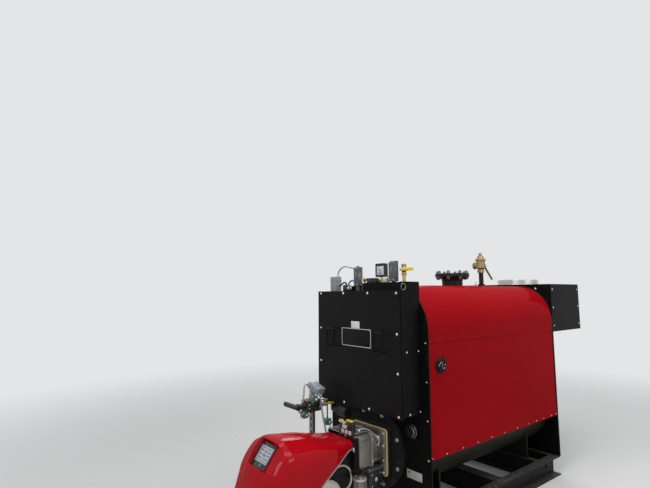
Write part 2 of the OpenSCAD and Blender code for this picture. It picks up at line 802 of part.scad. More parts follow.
panel_y = hood_y(0.083);
panel_z = hood_z - panel[2];
module burner_panel() {
    color("#b4b4b0") from_front()
        box([-panel[0] / 2, panel_y, panel_z],
            [panel[0] / 2, panel_y + panel[1], hood_z - seat]);
}
module burner_chassis() {
    lap = [0.395, 0.447, 0.593, 0.913, 1];
    color("#181818") from_front() along_x(-chassis_w / 2, chassis_w) difference() {
        polygon(concat(
            [[hood_y(0.478), panel_z + 5], [hood_y(0.478), hood_z], [fan_y + fan_d * 0.47, hood_z],
                [fan_y + fan_d * 0.47, cast_bottom], [cast_back - seat, cast_bottom],
                [cast_back - seat, hood_low(1) - seat]],
            [for (i = [4 : -1 : 0]) [hood_y(lap[i]), hood_low(lap[i]) - seat]],
            [[hood_y(0.395), panel_z + 5]]));
        translate([fan_y, fan_z]) circle(d = fan_d + 2 * seat);
    }
}
module fan_housing() {
    color("#1a1a1a") from_front() translate([0, fan_y, fan_z]) {
        along_x(-chassis_w / 2, fan_w) {
            circle(d = fan_d);
            translate([-fan_d / 2, fan_low - fan_z]) square([fan_d, fan_z - fan_low]);
        }
    }
}
module cover_slab(x, t, d, drop) {
    along_x(x, t) {
        circle(d = d);
        translate([-d / 2, -drop]) square([d, drop]);
    }
}
module inlet_cover() {
    x0 = fan_w - chassis_w / 2;
    drop = fan_z - fan_low - 8;
    color("#b9b5ae") from_front() translate([0, fan_y + 3, fan_z + 5]) {
        cover_slab(x0, cover_t * 0.74, cover_d, drop);
        cover_slab(x0 + 1, cover_t * 0.87 - 1, cover_d - 10, drop - 5);
        cover_slab(x0 + 1, cover_t - 1, cover_d - 28, drop - 14);
    }
}
pot_at = [85, body_y - pot_d - 31];
pot_h = 95;
module damper_actuators() {
    color("#2c2d2e") from_front() {
        box([20, body_y - 60, cast_bottom - actuator_h], [20 + actuator_w, body_y - 5, cast_bottom - 7]);
        box([16, body_y - 64, cast_bottom - 28], [24 + actuator_w, body_y - 1, cast_bottom - 6 - seat]);
        translate([pot_at[0], pot_at[1], cast_bottom - pot_h]) cylinder(h = pot_h - 7, d = pot_d);
        translate([pot_at[0], pot_at[1], cast_bottom - 26]) cylinder(h = 20 - seat, d = pot_d + 8);
    }
}
module air_tube() {
    x = fan_w - chassis_w / 2 + 32;
    r = cover_d / 2 + 20;
    z = cast_bottom - pot_h * 0.76;
    color("#8f908d") from_front() conduit(concat(
        [[chassis_w / 2 + seat, fan_y - 45, fan_z + 145], [x - 8, fan_y - 45, fan_z + 145]],
        [for (a = [-8, 22, 50, 75, 97]) [x, fan_y + 3 + r * sin(a), fan_z + 5 + r * cos(a)]],
        [[x - 12, fan_y + 148, z], [pot_at[0] + 12, pot_at[1] - pot_d / 2 - 60, z],
            [pot_at[0], pot_at[1] - pot_d / 2 - 30, z],
            [pot_at[0], pot_at[1] - pot_d / 2 - seat, z]]), conduit_d, [0.8, 0.1, 0.6]);
}
module burner_leg() {
    y = hood_y(0.436);
    color("#303030") from_front() {
        box([-leg_w / 2, y - leg_w / 2, 5], [leg_w / 2, y + leg_w / 2, panel_z + 5 - seat]);
        box([-leg_w * 1.5, y - leg_w, 0], [leg_w * 1.5, y + leg_w, 6]);
    }
}

// Gas train
module gas_pipe() {
    elbow = gas_d * 1.95;
    stub = 70;
    color("#1a1a1a") from_front() {
        bent_rod([[-gas_x, cock_y + cock_l, gas_z], [-gas_x, -drop_y, gas_z],
            [-gas_x, -drop_y, cross_z], [-cast_w / 2 - 65, -drop_y, cross_z],
            [-cast_w / 2 - 65, -drop_y, inlet_z], [-gasket_w * 0.365 - seat, -drop_y, inlet_z]], gas_d);
        rod([-cast_w / 2 - 122, -drop_y, cross_z], [-cast_w / 2 - 28, -drop_y, cross_z], elbow);
        bent_rod([[-gas_x, valve_y, gas_z], [-gas_x, valve_y - stub, gas_z],
            [-gas_x - 2 * stub, valve_y - stub, gas_z]], gas_d);
        for (y = [valve_y - 12, valve_y - stub + 14])
            rod([-gas_x, y - 8, gas_z], [-gas_x, y + 8, gas_z], gas_d + 12);
    }
}
module gas_valve() {
    color("#77787a") from_front() translate([-gas_x, valve_y, gas_z]) {
        difference() {
            box([-valve[0] / 2, 0, -valve[2] / 2], [valve[0] / 2, valve[1], valve[2] / 2]);
            for (s = [-1, 1]) translate([s * (valve[0] / 2 + 1), valve[1] / 2, 0])
                cube([14, valve[1] - 44, valve[2] - 28], center = true);
        }
        translate([0, valve[1] * 0.54, valve[2] / 2 - 1]) cylinder(h = 24 - seat, d = 44);
    }
}
module valve_actuator() {
    color("#b5b8ba") from_front() translate([-gas_x, servo_y, servo_z]) {
        box([-servo[0] / 2, 3, 0], [servo[0] / 2, servo[1], servo[2] - 5]);
        box([-servo[0] / 2 - 3, -2, servo[2] - 6], [servo[0] / 2 + 3, servo[1] + 3, servo[2]]);
        for (i = [0 : 3]) box([-servo[0] / 2 + 4, 0, 8 + 14 * i], [servo[0] / 2 - 4, 4, 15 + 14 * i]);
    }
}
module gas_cock() {
    y = cock_y + cock_l * 0.57;
    color("#c6c6c2") from_front() {
        rod([-gas_x, cock_y, gas_z], [-gas_x, cock_y + cock_l, gas_z], gas_d + 8);
        for (t = [0, cock_l - 16]) translate([-gas_x, cock_y + t + 16, gas_z]) rotate([90, 0, 0])
            cylinder(h = 16, d = gas_d + 20, $fn = 6);
        translate([-gas_x, y, gas_z]) sphere(d = 50);
        rod([-gas_x, y, gas_z], [-gas_x + 34, y, gas_z], 18);
        rod([-gas_x, y, gas_z], [-gas_x + 36 + 2 * lever_t, y, gas_z], stem_d);
    }
}
module gas_lever() {
    color("#e8d020") from_front() translate([-gas_x + 36, cock_y + cock_l * 0.57, gas_z])
        rotate([90, 0, 90]) quarter_lever(gas_lever_l);
}

// A pressure switch with a round cap on its front; stem_h is its height up to the pipe
module pressure_switch(stem_h) {
    box([-switch / 2, -switch / 2, -switch], [switch / 2, switch / 2, 0]);
    translate([0, -switch / 2 + 1, -switch / 2]) rotate([90, 0, 0]) cylinder(h = 7, d = switch * 0.8);
    if (stem_h > 0) translate([0, 0, -1]) cylinder(h = stem_h + 1, d = stem_d);
}
module pressure_switches() {
    low = gas_d / 2;
    color("#3f9a88") from_front() {
        translate([-gas_x + valve[0] / 2 + seat + switch / 2, valve_y + switch + 1, gas_z + switch + 8])
            pressure_switch(0);
        translate([-gas_x, valve_y - 38, gas_z - low - 20]) pressure_switch(20 - seat);
        translate([-gas_x, cock_y + cock_l + 18, gas_z - low - 99]) pressure_switch(99 - seat);
    }
}
module strut_post() {
    wall = 2.5;
    pitch = 48;
    top = gas_z - valve[2] / 2 - seat;
    color("#8d8f90") from_front() translate([-gas_x - strut / 2, -strut_y - strut / 2, 0])
        difference() {
            cube([strut, strut, top]);
            translate([wall, wall, -1]) cube([strut - 2 * wall, strut, top + 2]);
            for (z = [30 : pitch : top - 40]) translate([strut / 2 - 7, -1, z])
                cube([14, wall + 2, 28]);
        }
}
module flexible_conduits() {
    jb = [junction_at[0] + 55, junction_at[1] + 30, box_top + junction[2] + seat];
    lc = [control_x[0] - control[0] / 2 - seat, control_y, box_top + control[2] + 31];
    sv = [-gas_x - servo[0] / 2 + 15, servo_y + 3 - seat, servo_z + 77];
    sw = [-gas_x - switch / 2 - seat, valve_y - 38, gas_z - gas_d / 2 - 40];
    sr = [-gas_x + servo[0] / 2 + seat, servo_y + servo[1] - 20, servo_z + 14];
    ch = [-chassis_w / 2 - seat, cast_back - 35, burner_z + 13];
    color("#8c8e8c") from_front() {
        conduit([jb, jb + [0, 0, 20], jb + [13, 1, 46], jb + [45, 3, 68], jb + [85, 5, 74],
            jb + [125, 7, 66], lc - [28, 0, 0], lc], conduit_d, [0, 1, 0]);
        conduit([sv, sv - [0, 20, 0], sv - [1, 34, 15], sv - [7, 38, 50], sw + [-26, -1, 82],
            sw + [-26, 0, 36], sw + [-20, 0, 8], sw - [10, 0, 0], sw], conduit_d, [0.3, 1, 0.2]);
        conduit([sr, sr + [12, 0, 0], sr + [18, 0, -13], sr + [19, -1, -45], sr + [22, -4, -105],
            sr + [28, -10, -185], sr + [40, -23, -255], sr + [75, -48, -300], ch - [50, -10, 0],
            ch - [15, 0, 0], ch], conduit_d, [0.2, 1, 0]);
    }
}

skid_rail_left();
skid_rail_right();
skid_cross_members();
vessel_saddles();
boiler_shell();
front_end_plate();
rear_end_plate();
jacket_side_left();
jacket_side_right();
jacket_top_cover();
side_port();
front_smoke_box();
box_side_panels();
front_door();
door_handles();
cleanout_cap();
junction_box();
limit_controls();
pressure_gauge();
vent_valve();
vent_lever();
supply_nozzle();
relief_nipple();
relief_valve();
relief_lever();
rear_smoke_box();
flue_collar();
return_nozzle();
furnace_front();
burner_gasket();
burner_casting();
burner_hood();
burner_display();
burner_panel();
burner_chassis();
fan_housing();
inlet_cover();
damper_actuators();
air_tube();
burner_leg();
gas_pipe();
gas_valve();
valve_actuator();
gas_cock();
gas_lever();
pressure_switches();
strut_post();
flexible_conduits();
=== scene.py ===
from math import copysign, cos, radians, sin, tau

import bmesh
import bpy
from mathutils import Matrix, Vector


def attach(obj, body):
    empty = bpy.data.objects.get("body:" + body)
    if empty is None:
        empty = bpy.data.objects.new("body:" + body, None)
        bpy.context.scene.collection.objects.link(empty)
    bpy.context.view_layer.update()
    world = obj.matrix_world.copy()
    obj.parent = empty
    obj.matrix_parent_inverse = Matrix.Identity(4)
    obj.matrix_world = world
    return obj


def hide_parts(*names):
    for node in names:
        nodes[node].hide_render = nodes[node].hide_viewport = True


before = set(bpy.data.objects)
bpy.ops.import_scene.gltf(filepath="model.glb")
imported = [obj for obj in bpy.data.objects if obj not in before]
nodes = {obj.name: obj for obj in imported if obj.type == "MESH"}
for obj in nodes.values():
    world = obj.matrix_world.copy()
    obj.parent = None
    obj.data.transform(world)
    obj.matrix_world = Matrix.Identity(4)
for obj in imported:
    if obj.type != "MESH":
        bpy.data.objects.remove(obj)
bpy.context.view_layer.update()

# Camera: a wide-angle hand camera at standing eye height, off the boiler's front right corner,
# level but for a slight upward tilt.
camera_data = bpy.data.cameras.new("camera")
camera_data.sensor_fit = "HORIZONTAL"
camera_data.sensor_width = 36.0
camera_data.lens = 24.637
camera_data.clip_start = 0.05
camera = bpy.data.objects.new("camera", camera_data)
bpy.context.scene.collection.objects.link(camera)
camera.matrix_world = (
    Matrix.Translation((2.3028, -3.0935, 1.5))
    @ Matrix.Rotation(radians(51.7087), 4, "Z")
    @ Matrix.Rotation(radians(90 + 6.3313), 4, "X")
    @ Matrix.Rotation(radians(-0.2709), 4, "Z")
)
bpy.context.scene.camera = camera
bpy.context.scene.view_settings.view_transform = "Standard"

# Studio: a pale sealed floor, a pale surround, one broad ceiling light and three softer ones round
# the boiler. The surround shows pale to the eye and in reflections, and lights the boiler less.
STUDIO_TONE = (0.86, 0.87, 0.88, 1)


def linked(name, mesh):
    piece = bpy.data.objects.new(name, mesh)
    bpy.context.scene.collection.objects.link(piece)
    return piece


def add_node(tree, kind, sockets, **settings):
    """Adds a shader node. Each of its sockets is set to a value or linked to another socket."""
    made = tree.nodes.new("ShaderNode" + kind)
    for key, value in settings.items():
        setattr(made, key, value)
    for key, value in sockets.items():
        if isinstance(value, bpy.types.NodeSocket):
            tree.links.new(value, made.inputs[key])
        else:
            made.inputs[key].default_value = value
    return made.outputs


def math_node(tree, operation, *values, clamp=False):
    return add_node(tree, "Math", dict(enumerate(values)), operation=operation, use_clamp=clamp)[0]


def mix_node(tree, share, one, two):
    return add_node(tree, "Mix", {0: share, 6: one, 7: two}, data_type="RGBA")[2]


def seen_share(tree):
    """One where the eye or a reflection meets the surface, and zero where it only gives light."""
    path = add_node(tree, "LightPath", {})
    seen = math_node(tree, "ADD", path["Is Camera Ray"], path["Is Glossy Ray"])
    return math_node(tree, "ADD", seen, path["Is Transmission Ray"], clamp=True)


world = bpy.data.worlds.new("studio")
bpy.context.scene.world = world
world.use_nodes = True
sky = world.node_tree
sky.nodes.clear()
soft = add_node(sky, "Background", {"Color": (0.92, 0.96, 1.0, 1), "Strength": 0.42})[0]
pale = add_node(sky, "Background", {"Color": STUDIO_TONE, "Strength": 0.9})[0]
both = add_node(sky, "MixShader", {0: seen_share(sky), 1: soft, 2: pale})[0]
add_node(sky, "OutputWorld", {"Surface": both})

FAR = 400
floor_mesh = bpy.data.meshes.new("studio_floor")
floor_mesh.from_pydata([(-FAR, -FAR, 0), (FAR, -FAR, 0), (FAR, FAR, 0), (-FAR, FAR, 0)], [], [(0, 1, 2, 3)])
floor = linked("studio_floor", floor_mesh)
floor_finish = bpy.data.materials.new("studio_floor")
floor_finish.use_nodes = True
tree = floor_finish.node_tree
floor_skin = tree.nodes["Principled BSDF"]
tone = add_node(tree, "TexNoise", {"Scale": 0.8, "Detail": 4.0})[0]
tone = mix_node(tree, tone, (0.60, 0.60, 0.59, 1), (0.66, 0.66, 0.65, 1))
tree.links.new(tone, floor_skin.inputs["Base Color"])
floor_skin.inputs["Roughness"].default_value = 0.75
floor_skin.inputs["Specular IOR Level"].default_value = 0.2
# Far from the boiler the floor fades to the surround's tone, to the eye and in reflections only
reach = add_node(tree, "VectorMath", {0: add_node(tree, "NewGeometry", {})["Position"]}, operation="LENGTH")
fade = add_node(tree, "MapRange", {"Value": reach["Value"], "From Min": 1.8, "From Max": 7.0},
                interpolation_type="SMOOTHSTEP")[0]
fade = math_node(tree, "MULTIPLY", fade, seen_share(tree))
pale = add_node(tree, "Emission", {"Color": STUDIO_TONE, "Strength": 0.9})[0]
both = add_node(tree, "MixShader", {0: fade, 1: floor_skin.outputs[0], 2: pale})[0]
tree.links.new(both, tree.nodes["Material Output"].inputs["Surface"])
floor_mesh.materials.append(floor_finish)


def soft_light(name, place, aim, width, depth, power, tone=(1, 1, 1)):
    data = bpy.data.lights.new(name, "AREA")
    data.shape = "RECTANGLE"
    data.size = width
    data.size_y = depth
    data.energy = power
    data.color = tone
    lamp = bpy.data.objects.new(name, data)
    bpy.context.scene.collection.objects.link(lamp)
    lamp.matrix_world = Matrix.Translation(place) @ (
        Vector(aim) - Vector(place)).to_track_quat("-Z", "Y").to_matrix().to_4x4()


soft_light("ceiling_light", (0.9, -0.4, 4.4), (0.1, 0.0, 0.9), 3.6, 2.4, 120)
soft_light("front_light", (1.6, -5.2, 3.4), (0.0, -0.8, 0.8), 2.6, 1.8, 80)
soft_light("side_light", (4.6, 0.9, 2.9), (0.4, 0.0, 0.8), 2.6, 1.6, 50)
soft_light("back_light", (-3.6, 2.8, 3.2), (0.0, 0.4, 0.9), 2.4, 1.8, 60)

# Skid: channels and cross members of hot-rolled steel, welded, and two saddle plates that carry
# the vessel. All brushed with semi-matt black structural paint.


def shared_group(name, values, results=("Color", "Roughness", "Height")):
    """A node group with named values going in and results coming out, and nothing between yet."""
    group = bpy.data.node_groups.new(name, "ShaderNodeTree")
    for key, value in values.items():
        kind = "NodeSocketColor" if isinstance(value, tuple) else "NodeSocketFloat"
        group.interface.new_socket(name=key, in_out="INPUT", socket_type=kind).default_value = value
    for key in results:
        kind = {"Color": "NodeSocketColor", "Normal": "NodeSocketVector"}.get(key, "NodeSocketFloat")
        group.interface.new_socket(name=key, in_out="OUTPUT", socket_type=kind)
    return group, group.nodes.new("NodeGroupInput").outputs, group.nodes.new("NodeGroupOutput").inputs


def give_out(group, into, *results):
    for result, socket in zip(results, into):
        group.links.new(result, socket)


def place_node(tree):
    return add_node(tree, "TexCoord", {})["Object"]


def noise_node(tree, place, scale, detail, rough=0.5, distortion=0.0):
    return add_node(tree, "TexNoise", {"Vector": place, "Scale": scale, "Detail": detail,
                                       "Roughness": rough, "Distortion": distortion})[0]


def range_node(tree, value, low, high, to_low=0.0, to_high=1.0):
    return add_node(tree, "MapRange", {"Value": value, "From Min": low, "From Max": high,
                                       "To Min": to_low, "To Max": to_high})[0]


# Paint film: slow change of tone, dust on what faces up, and the film's own orange peel
paint_film, film, film_out = shared_group("paint_film", {
    "Color": (0.5, 0.5, 0.5, 1), "Shade": (0.4, 0.4, 0.4, 1), "Dust Color": (0.35, 0.33, 0.30, 1),
    "Tone Scale": 3.0, "Dust": 0.2, "Rough Low": 0.3, "Rough High": 0.5, "Peel Scale": 400.0, "Smudge": 0.15})
place = place_node(paint_film)
tone = noise_node(paint_film, place, film["Tone Scale"], 5.0, 0.6)
hue = mix_node(paint_film, tone, film["Shade"], film["Color"])
fine = noise_node(paint_film, place, 38.0, 6.0, 0.7)
facing = add_node(paint_film, "SeparateXYZ", {0: add_node(paint_film, "NewGeometry", {})["Normal"]})
dust = math_node(paint_film, "MULTIPLY", range_node(paint_film, facing[2], 0.35, 0.95),
                 range_node(paint_film, fine, 0.35, 0.7))
dust = math_node(paint_film, "MULTIPLY", dust, film["Dust"])
mark = range_node(paint_film, noise_node(paint_film, place, 11.0, 7.0, 0.65, 1.2), 0.55, 0.75)
mark = math_node(paint_film, "MULTIPLY", mark, film["Smudge"])
cover = math_node(paint_film, "ADD", dust, mark, clamp=True)
dirt = math_node(paint_film, "MULTIPLY_ADD", mark, 0.25, dust)
rough = range_node(paint_film, fine, 0.3, 0.7, film["Rough Low"], film["Rough High"])
rough = math_node(paint_film, "MULTIPLY_ADD", cover, 0.5, rough, clamp=True)
give_out(paint_film, film_out, mix_node(paint_film, dirt, hue, film["Dust Color"]), rough,
         noise_node(paint_film, place, film["Peel Scale"], 2.0))

# Worn edge: finds where a face turns a corner, breaks it up, and blends in the bared colour
worn_edge, worn, worn_out = shared_group("worn_edge", {
    "Color": (0.5, 0.5, 0.5, 1), "Bare": (0.3, 0.3, 0.3, 1), "Radius": 0.002, "Amount": 0.4,
    "Break Scale": 30.0}, ("Color", "Mask", "Normal"))
eased = add_node(worn_edge, "Bevel", {"Radius": worn["Radius"]}, samples=4)[0]
true = add_node(worn_edge, "NewGeometry", {})["Normal"]
turn = add_node(worn_edge, "VectorMath", {0: eased, 1: true}, operation="DOT_PRODUCT")["Value"]
patch = noise_node(worn_edge, place_node(worn_edge), worn["Break Scale"], 5.0, 0.7)
mask = math_node(worn_edge, "MULTIPLY", range_node(worn_edge, turn, 0.995, 0.9),
                 range_node(worn_edge, patch, 0.42, 0.62))
mask = math_node(worn_edge, "MULTIPLY", mask, worn["Amount"])
give_out(worn_edge, worn_out, mix_node(worn_edge, mask, worn["Color"], worn["Bare"]), mask, eased)


def finish(name, group, look, bare, radius=0.0015, wear=0.4, break_scale=30.0, bump=0.1, depth=0.0004,
           metallic=0.0, specular=0.3, coat=0.0, coat_roughness=0.05):
    """A material: a surface group, its worn edges, and a shader with its plain numbers set on it."""
    made = bpy.data.materials.new(name)
    made.use_nodes = True
    tree = made.node_tree
    shader = tree.nodes["Principled BSDF"]
    skin = tree.nodes.new("ShaderNodeGroup")
    skin.node_tree = group
    edge = tree.nodes.new("ShaderNodeGroup")
    edge.node_tree = worn_edge
    for node, values in (
            (skin, look),
            (edge, {"Bare": bare, "Radius": radius, "Amount": wear, "Break Scale": break_scale}),
            (shader, {"Metallic": metallic, "Specular IOR Level": specular, "Coat Weight": coat,
                      "Coat Roughness": coat_roughness})):
        for key, value in values.items():
            node.inputs[key].default_value = (*value, 1) if isinstance(value, tuple) else value
    relief = add_node(tree, "Bump", {"Strength": bump, "Distance": depth, "Height": skin.outputs["Height"],
                                     "Normal": edge.outputs["Normal"]})[0]
    for source, socket in ((skin.outputs["Color"], edge.inputs["Color"]),
                           (edge.outputs["Color"], shader.inputs["Base Color"]),
                           (skin.outputs["Roughness"], shader.inputs["Roughness"]),
                           (relief, shader.inputs["Normal"])):
        tree.links.new(source, socket)
    return made


def painted(name, color, shade, bare, tone, rough, peel, dust=0.3, smudge=0.5,
            dust_color=(0.35, 0.33, 0.30), **edge):
    """A painted or moulded surface: its colour, the shade it drifts to, and what worn edges bare."""
    look = {"Color": color, "Shade": shade, "Dust Color": dust_color, "Tone Scale": tone, "Dust": dust,
            "Rough Low": rough[0], "Rough High": rough[1], "Peel Scale": peel, "Smudge": smudge}
    return finish(name, paint_film, look, bare, **edge)


def dress(material, *names):
    for name in names:
        mesh = nodes[name].data
        mesh.materials.clear()
        mesh.materials.append(material)


skid_paint = painted("structural_black", (0.016, 0.0155, 0.015), (0.009, 0.0088, 0.0085),
    (0.09, 0.075, 0.06), tone=5, rough=(0.42, 0.62), peel=240, dust=0.42, smudge=0.3,
    dust_color=(0.2, 0.18, 0.155), radius=0.003, wear=0.35, bump=0.25, depth=0.0006, specular=0.12)
dress(skid_paint, "skid_rail_left", "skid_rail_right", "skid_cross_members", "vessel_saddles",
      "burner_chassis", "fan_housing", "burner_leg", "furnace_front")

# Pressure vessel: rolled plate under the jacket, seen below the side panels. Its heat-proof
# black paint is tinted a little olive: a painted sheen.
shell_paint = painted("shell_black", (0.021, 0.018, 0.011), (0.011, 0.0095, 0.006), (0.06, 0.05, 0.035),
    tone=4, rough=(0.38, 0.6), peel=160, dust=0.25, smudge=0.35, dust_color=(0.17, 0.15, 0.11), radius=0.003,
    wear=0.3, bump=0.3, depth=0.0008, specular=0.14)
dress(shell_paint, "boiler_shell")

# End plates: 12 mm steel plates the width of the jacket, front and rear, that close the vessel.
# Satin black stove enamel, a darker copy than the door's as painted shade; a row of small bright screws holds
# the jacket's edge strip to each.
plate_enamel_shaded = painted("black_enamel", (0.0052, 0.0051, 0.005), (0.0034, 0.0033, 0.0032),
    (0.07, 0.066, 0.06), tone=2.2, rough=(0.36, 0.48), peel=520, smudge=0.16, dust_color=(0.22, 0.2, 0.18),
    radius=0.002, wear=0.3, bump=0.12, specular=0.05)
dress(plate_enamel_shaded, "box_side_panels", "front_end_plate", "rear_end_plate",
    "front_smoke_box", "rear_smoke_box")

# Machined or drawn metal: fine running scratches, dull patches and oxide in the hollows
metal_skin, skin, skin_out = shared_group("metal_skin", {
    "Color": (0.6, 0.6, 0.6, 1), "Dull": (0.4, 0.4, 0.4, 1), "Stain": (0.15, 0.12, 0.09, 1),
    "Stain Amount": 0.2, "Grain Scale": 90.0, "Along Z": 1.0, "Rough Low": 0.25, "Rough High": 0.45})
place = place_node(metal_skin)
stretch = add_node(metal_skin, "CombineXYZ", {0: 1.0, 1: 1.0, 2: skin["Along Z"]})[0]
run = add_node(metal_skin, "VectorMath", {0: place, 1: stretch}, operation="MULTIPLY")[0]
grain = noise_node(metal_skin, run, skin["Grain Scale"], 6.0, 0.7)
tone = noise_node(metal_skin, place, 14.0, 5.0, 0.6)
tone = mix_node(metal_skin, tone, skin["Dull"], skin["Color"])
spot = range_node(metal_skin, noise_node(metal_skin, place, 47.0, 7.0, 0.75), 0.5, 0.72)
spot = math_node(metal_skin, "MULTIPLY", spot, skin["Stain Amount"])
rough = range_node(metal_skin, grain, 0.3, 0.7, skin["Rough Low"], skin["Rough High"])
rough = math_node(metal_skin, "MULTIPLY_ADD", spot, 0.3, rough, clamp=True)
give_out(metal_skin, skin_out, mix_node(metal_skin, spot, tone, skin["Stain"]), rough, grain)


def metal(name, color, dull, bare, stain, grain, rough, stain_color=(0.15, 0.12, 0.09), along=1.0, **edge):
    """A bare or plated metal: its colour, its dull patches, and what worn edges bare."""
    look = {"Color": color, "Dull": dull, "Stain": stain_color, "Stain Amount": stain, "Grain Scale": grain,
            "Along Z": along, "Rough Low": rough[0], "Rough High": rough[1]}
    return finish(name, metal_skin, look, bare, **edge)


zinc_screw = metal("zinc_screw", (0.72, 0.72, 0.7), (0.46, 0.45, 0.43), (0.8, 0.8, 0.78), stain=0.25,
    grain=700, rough=(0.25, 0.42), radius=0.0006, wear=0.5, break_scale=200, depth=0.0002, metallic=1)


def at(x, y, z):
    """A place in millimetres from the middle plane, the front end plate's face and the floor."""
    return Vector((x / 1000, y / 1000 - 0.835, z / 1000))


UP, FRONT, RIGHT = (0, 0, 1), (0, -1, 0), (1, 0, 0)


def angles(count, start=0.5):
    return [tau * (k + start) / count for k in range(count)]


def skinned(shape, rings):
    """Joins rings of corners with faces, each to the next, and closes both ends."""
    for low, high in zip(rings, rings[1:]):
        for k in range(len(low)):
            n = (k + 1) % len(low)
            shape.faces.new((low[k], low[n], high[n], high[k]))
    shape.faces.new(rings[0][::-1])
    shape.faces.new(rings[-1])


def turned(shape, place, axis, outline, sides=24, turn=0.0):
    """Turns an outline of (radius, height) pairs, in millimetres, about an axis through a place."""
    frame_of = Vector(axis).to_track_quat("Z", "Y").to_matrix()
    rings = []
    for radius, height in outline:
        ring = []
        for a in angles(sides, turn):
            spot = Vector((radius * cos(a), radius * sin(a), height)) / 1000
            ring.append(shape.verts.new(place + frame_of @ spot))
        rings.append(ring)
    skinned(shape, rings)


def made_piece(name, shape, material, body="boiler", sharp=32):
    mesh = bpy.data.meshes.new(name)
    bmesh.ops.recalc_face_normals(shape, faces=shape.faces)
    shape.to_mesh(mesh)
    shape.free()
    mesh.materials.append(material)
    mesh.polygons.foreach_set("use_smooth", [True] * len(mesh.polygons))
    mesh.set_sharp_from_angle(angle=radians(sharp))
    piece = linked(name, mesh)
    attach(piece, body)
    return piece


def pan_screw(shape, place, axis, radius):
    """A pan-head screw with a shallow socket, on a flat washer."""
    r = radius
    turned(shape, place, axis, [(r * 1.45, -0.4), (r * 1.45, 0.9), (r * 1.38, 1.2)], 20)
    turned(shape, place, axis,
           [(r, 0.8), (r, 1.0 + r * 0.25), (r * 0.86, 1.0 + r * 0.5), (r * 0.62, 1.0 + r * 0.62),
            (r * 0.4, 1.0 + r * 0.66), (r * 0.38, 1.0 + r * 0.3)], 20)


def hex_head(shape, place, axis, radius, height, turn=0.0):
    """A hexagon head with a chamfered top, on a round washer."""
    r = radius
    turned(shape, place, axis, [(r * 1.25, -0.5), (r * 1.25, 1.6), (r * 1.2, 2.0)], 24)
    turned(shape, place, axis,
           [(r, 1.5), (r, height * 0.86), (r * 0.9, height), (r * 0.5, height + 0.2)], 6, turn)


plate_screws = bmesh.new()
for side in (-1, 1):
    for z in (1185, 946, 712, 477):
        pan_screw(plate_screws, at(side * 456, 0, z), FRONT, 4.6)
        pan_screw(plate_screws, at(side * 456, 1670, z), (0, 1, 0), 4.6)
made_piece("end_plate_screws", plate_screws, zinc_screw)

# Jacket: thin steel panels round the insulation, powder-coated in a glossy deep red. The top
# cover laps over the side panels, with a row of screws through the lap and one along the bottom.
jacket_paint = painted("jacket_red", (0.3, 0.0016, 0.005), (0.22, 0.0012, 0.004), (0.12, 0.006, 0.008),
    tone=1.6, rough=(0.2, 0.3), peel=260, dust=0.06, smudge=0.03, dust_color=(0.34, 0.08, 0.08), wear=0.25,
    depth=0.0005, specular=0, coat=0.09)
dress(jacket_paint, "jacket_side_left", "jacket_side_right", "jacket_top_cover")

SEAM_AT = (28, 121, 270, 410, 558, 703, 848, 990, 1128, 1264, 1397, 1535, 1640)
HEM_AT = (20, 163, 333, 506, 677, 843, 1020, 1187, 1310, 1428, 1560, 1645)
seam_screws = bmesh.new()
hem_screws = bmesh.new()
for side in (-1, 1):
    for y in SEAM_AT:
        pan_screw(seam_screws, at(side * 473, y, 1191), (side, 0, 0), 2.9)
    for y in HEM_AT:
        pan_screw(hem_screws, at(side * 470, y, 490), (side, 0, 0), 3.0)
seam_screw_skin = metal("seam_screw", (0.2, 0.03, 0.03), (0.12, 0.012, 0.014), (0.45, 0.35, 0.33), stain=0.3,
    grain=700, rough=(0.3, 0.5), radius=0.0006, wear=0.5, break_scale=200, metallic=0.4)
made_piece("seam_screws", seam_screws, seam_screw_skin)
made_piece("hem_screws", hem_screws, zinc_screw)

# Side port: a round black plug in the right side panel, over the insulation, with a bright
# pressed catch across it that two screws hold.
port_skin = painted("port_black", (0.018, 0.018, 0.018), (0.009, 0.009, 0.009), (0.06, 0.06, 0.06), tone=30,
    rough=(0.4, 0.6), peel=900, dust=0.2, smudge=0.3, bump=0.2, specular=0.05)
dress(port_skin, "side_port")
catch = bmesh.new()


def tube(shape, points, radius, sides=12, steps=5):
    """A round bar through points in millimetres, smoothed between them."""
    spots = [at(*point) for point in points]
    path = []
    last = len(spots) - 1
    for i in range(last):
        a, b = spots[max(i - 1, 0)], spots[i]
        c, d = spots[i + 1], spots[min(i + 2, last)]
        for k in range(steps):
            t = k / steps
            path.append(0.5 * (2 * b + (c - a) * t + (2 * a - 5 * b + 4 * c - d) * t * t
                               + (3 * b - a - 3 * c + d) * t * t * t))
    path.append(spots[-1])
    along = (path[1] - path[0]).normalized()
    across = along.orthogonal().normalized()
    rings = []
    for i, p in enumerate(path):
        ahead = (path[min(i + 1, len(path) - 1)] - path[max(i - 1, 0)]).normalized()
        across = (along.rotation_difference(ahead) @ across).normalized()
        along = ahead
        over = along.cross(across)
        ring = []
        for a in angles(sides, 0):
            ring.append(shape.verts.new(p + (across * cos(a) + over * sin(a)) * radius / 1000))
        rings.append(ring)
    skinned(shape, rings)


tube(catch, [(484.5, 99, 1045), (486, 108, 1058), (486, 121, 1060), (486, 127, 1048), (486, 124, 1036),
    (486, 127, 1024), (486, 139, 1018), (485, 150, 1024)], 2.6, 8)
for y in (94, 157):
    pan_screw(catch, at(483.5, y, 1041), RIGHT, 3.6)
catch_skin = metal("dull_catch", (0.3, 0.3, 0.29), (0.16, 0.16, 0.155), (0.5, 0.5, 0.48), stain=0.4,
    grain=400, rough=(0.35, 0.55), radius=0.0008, wear=0.5, metallic=0.8)
made_piece("port_catch", catch, catch_skin)
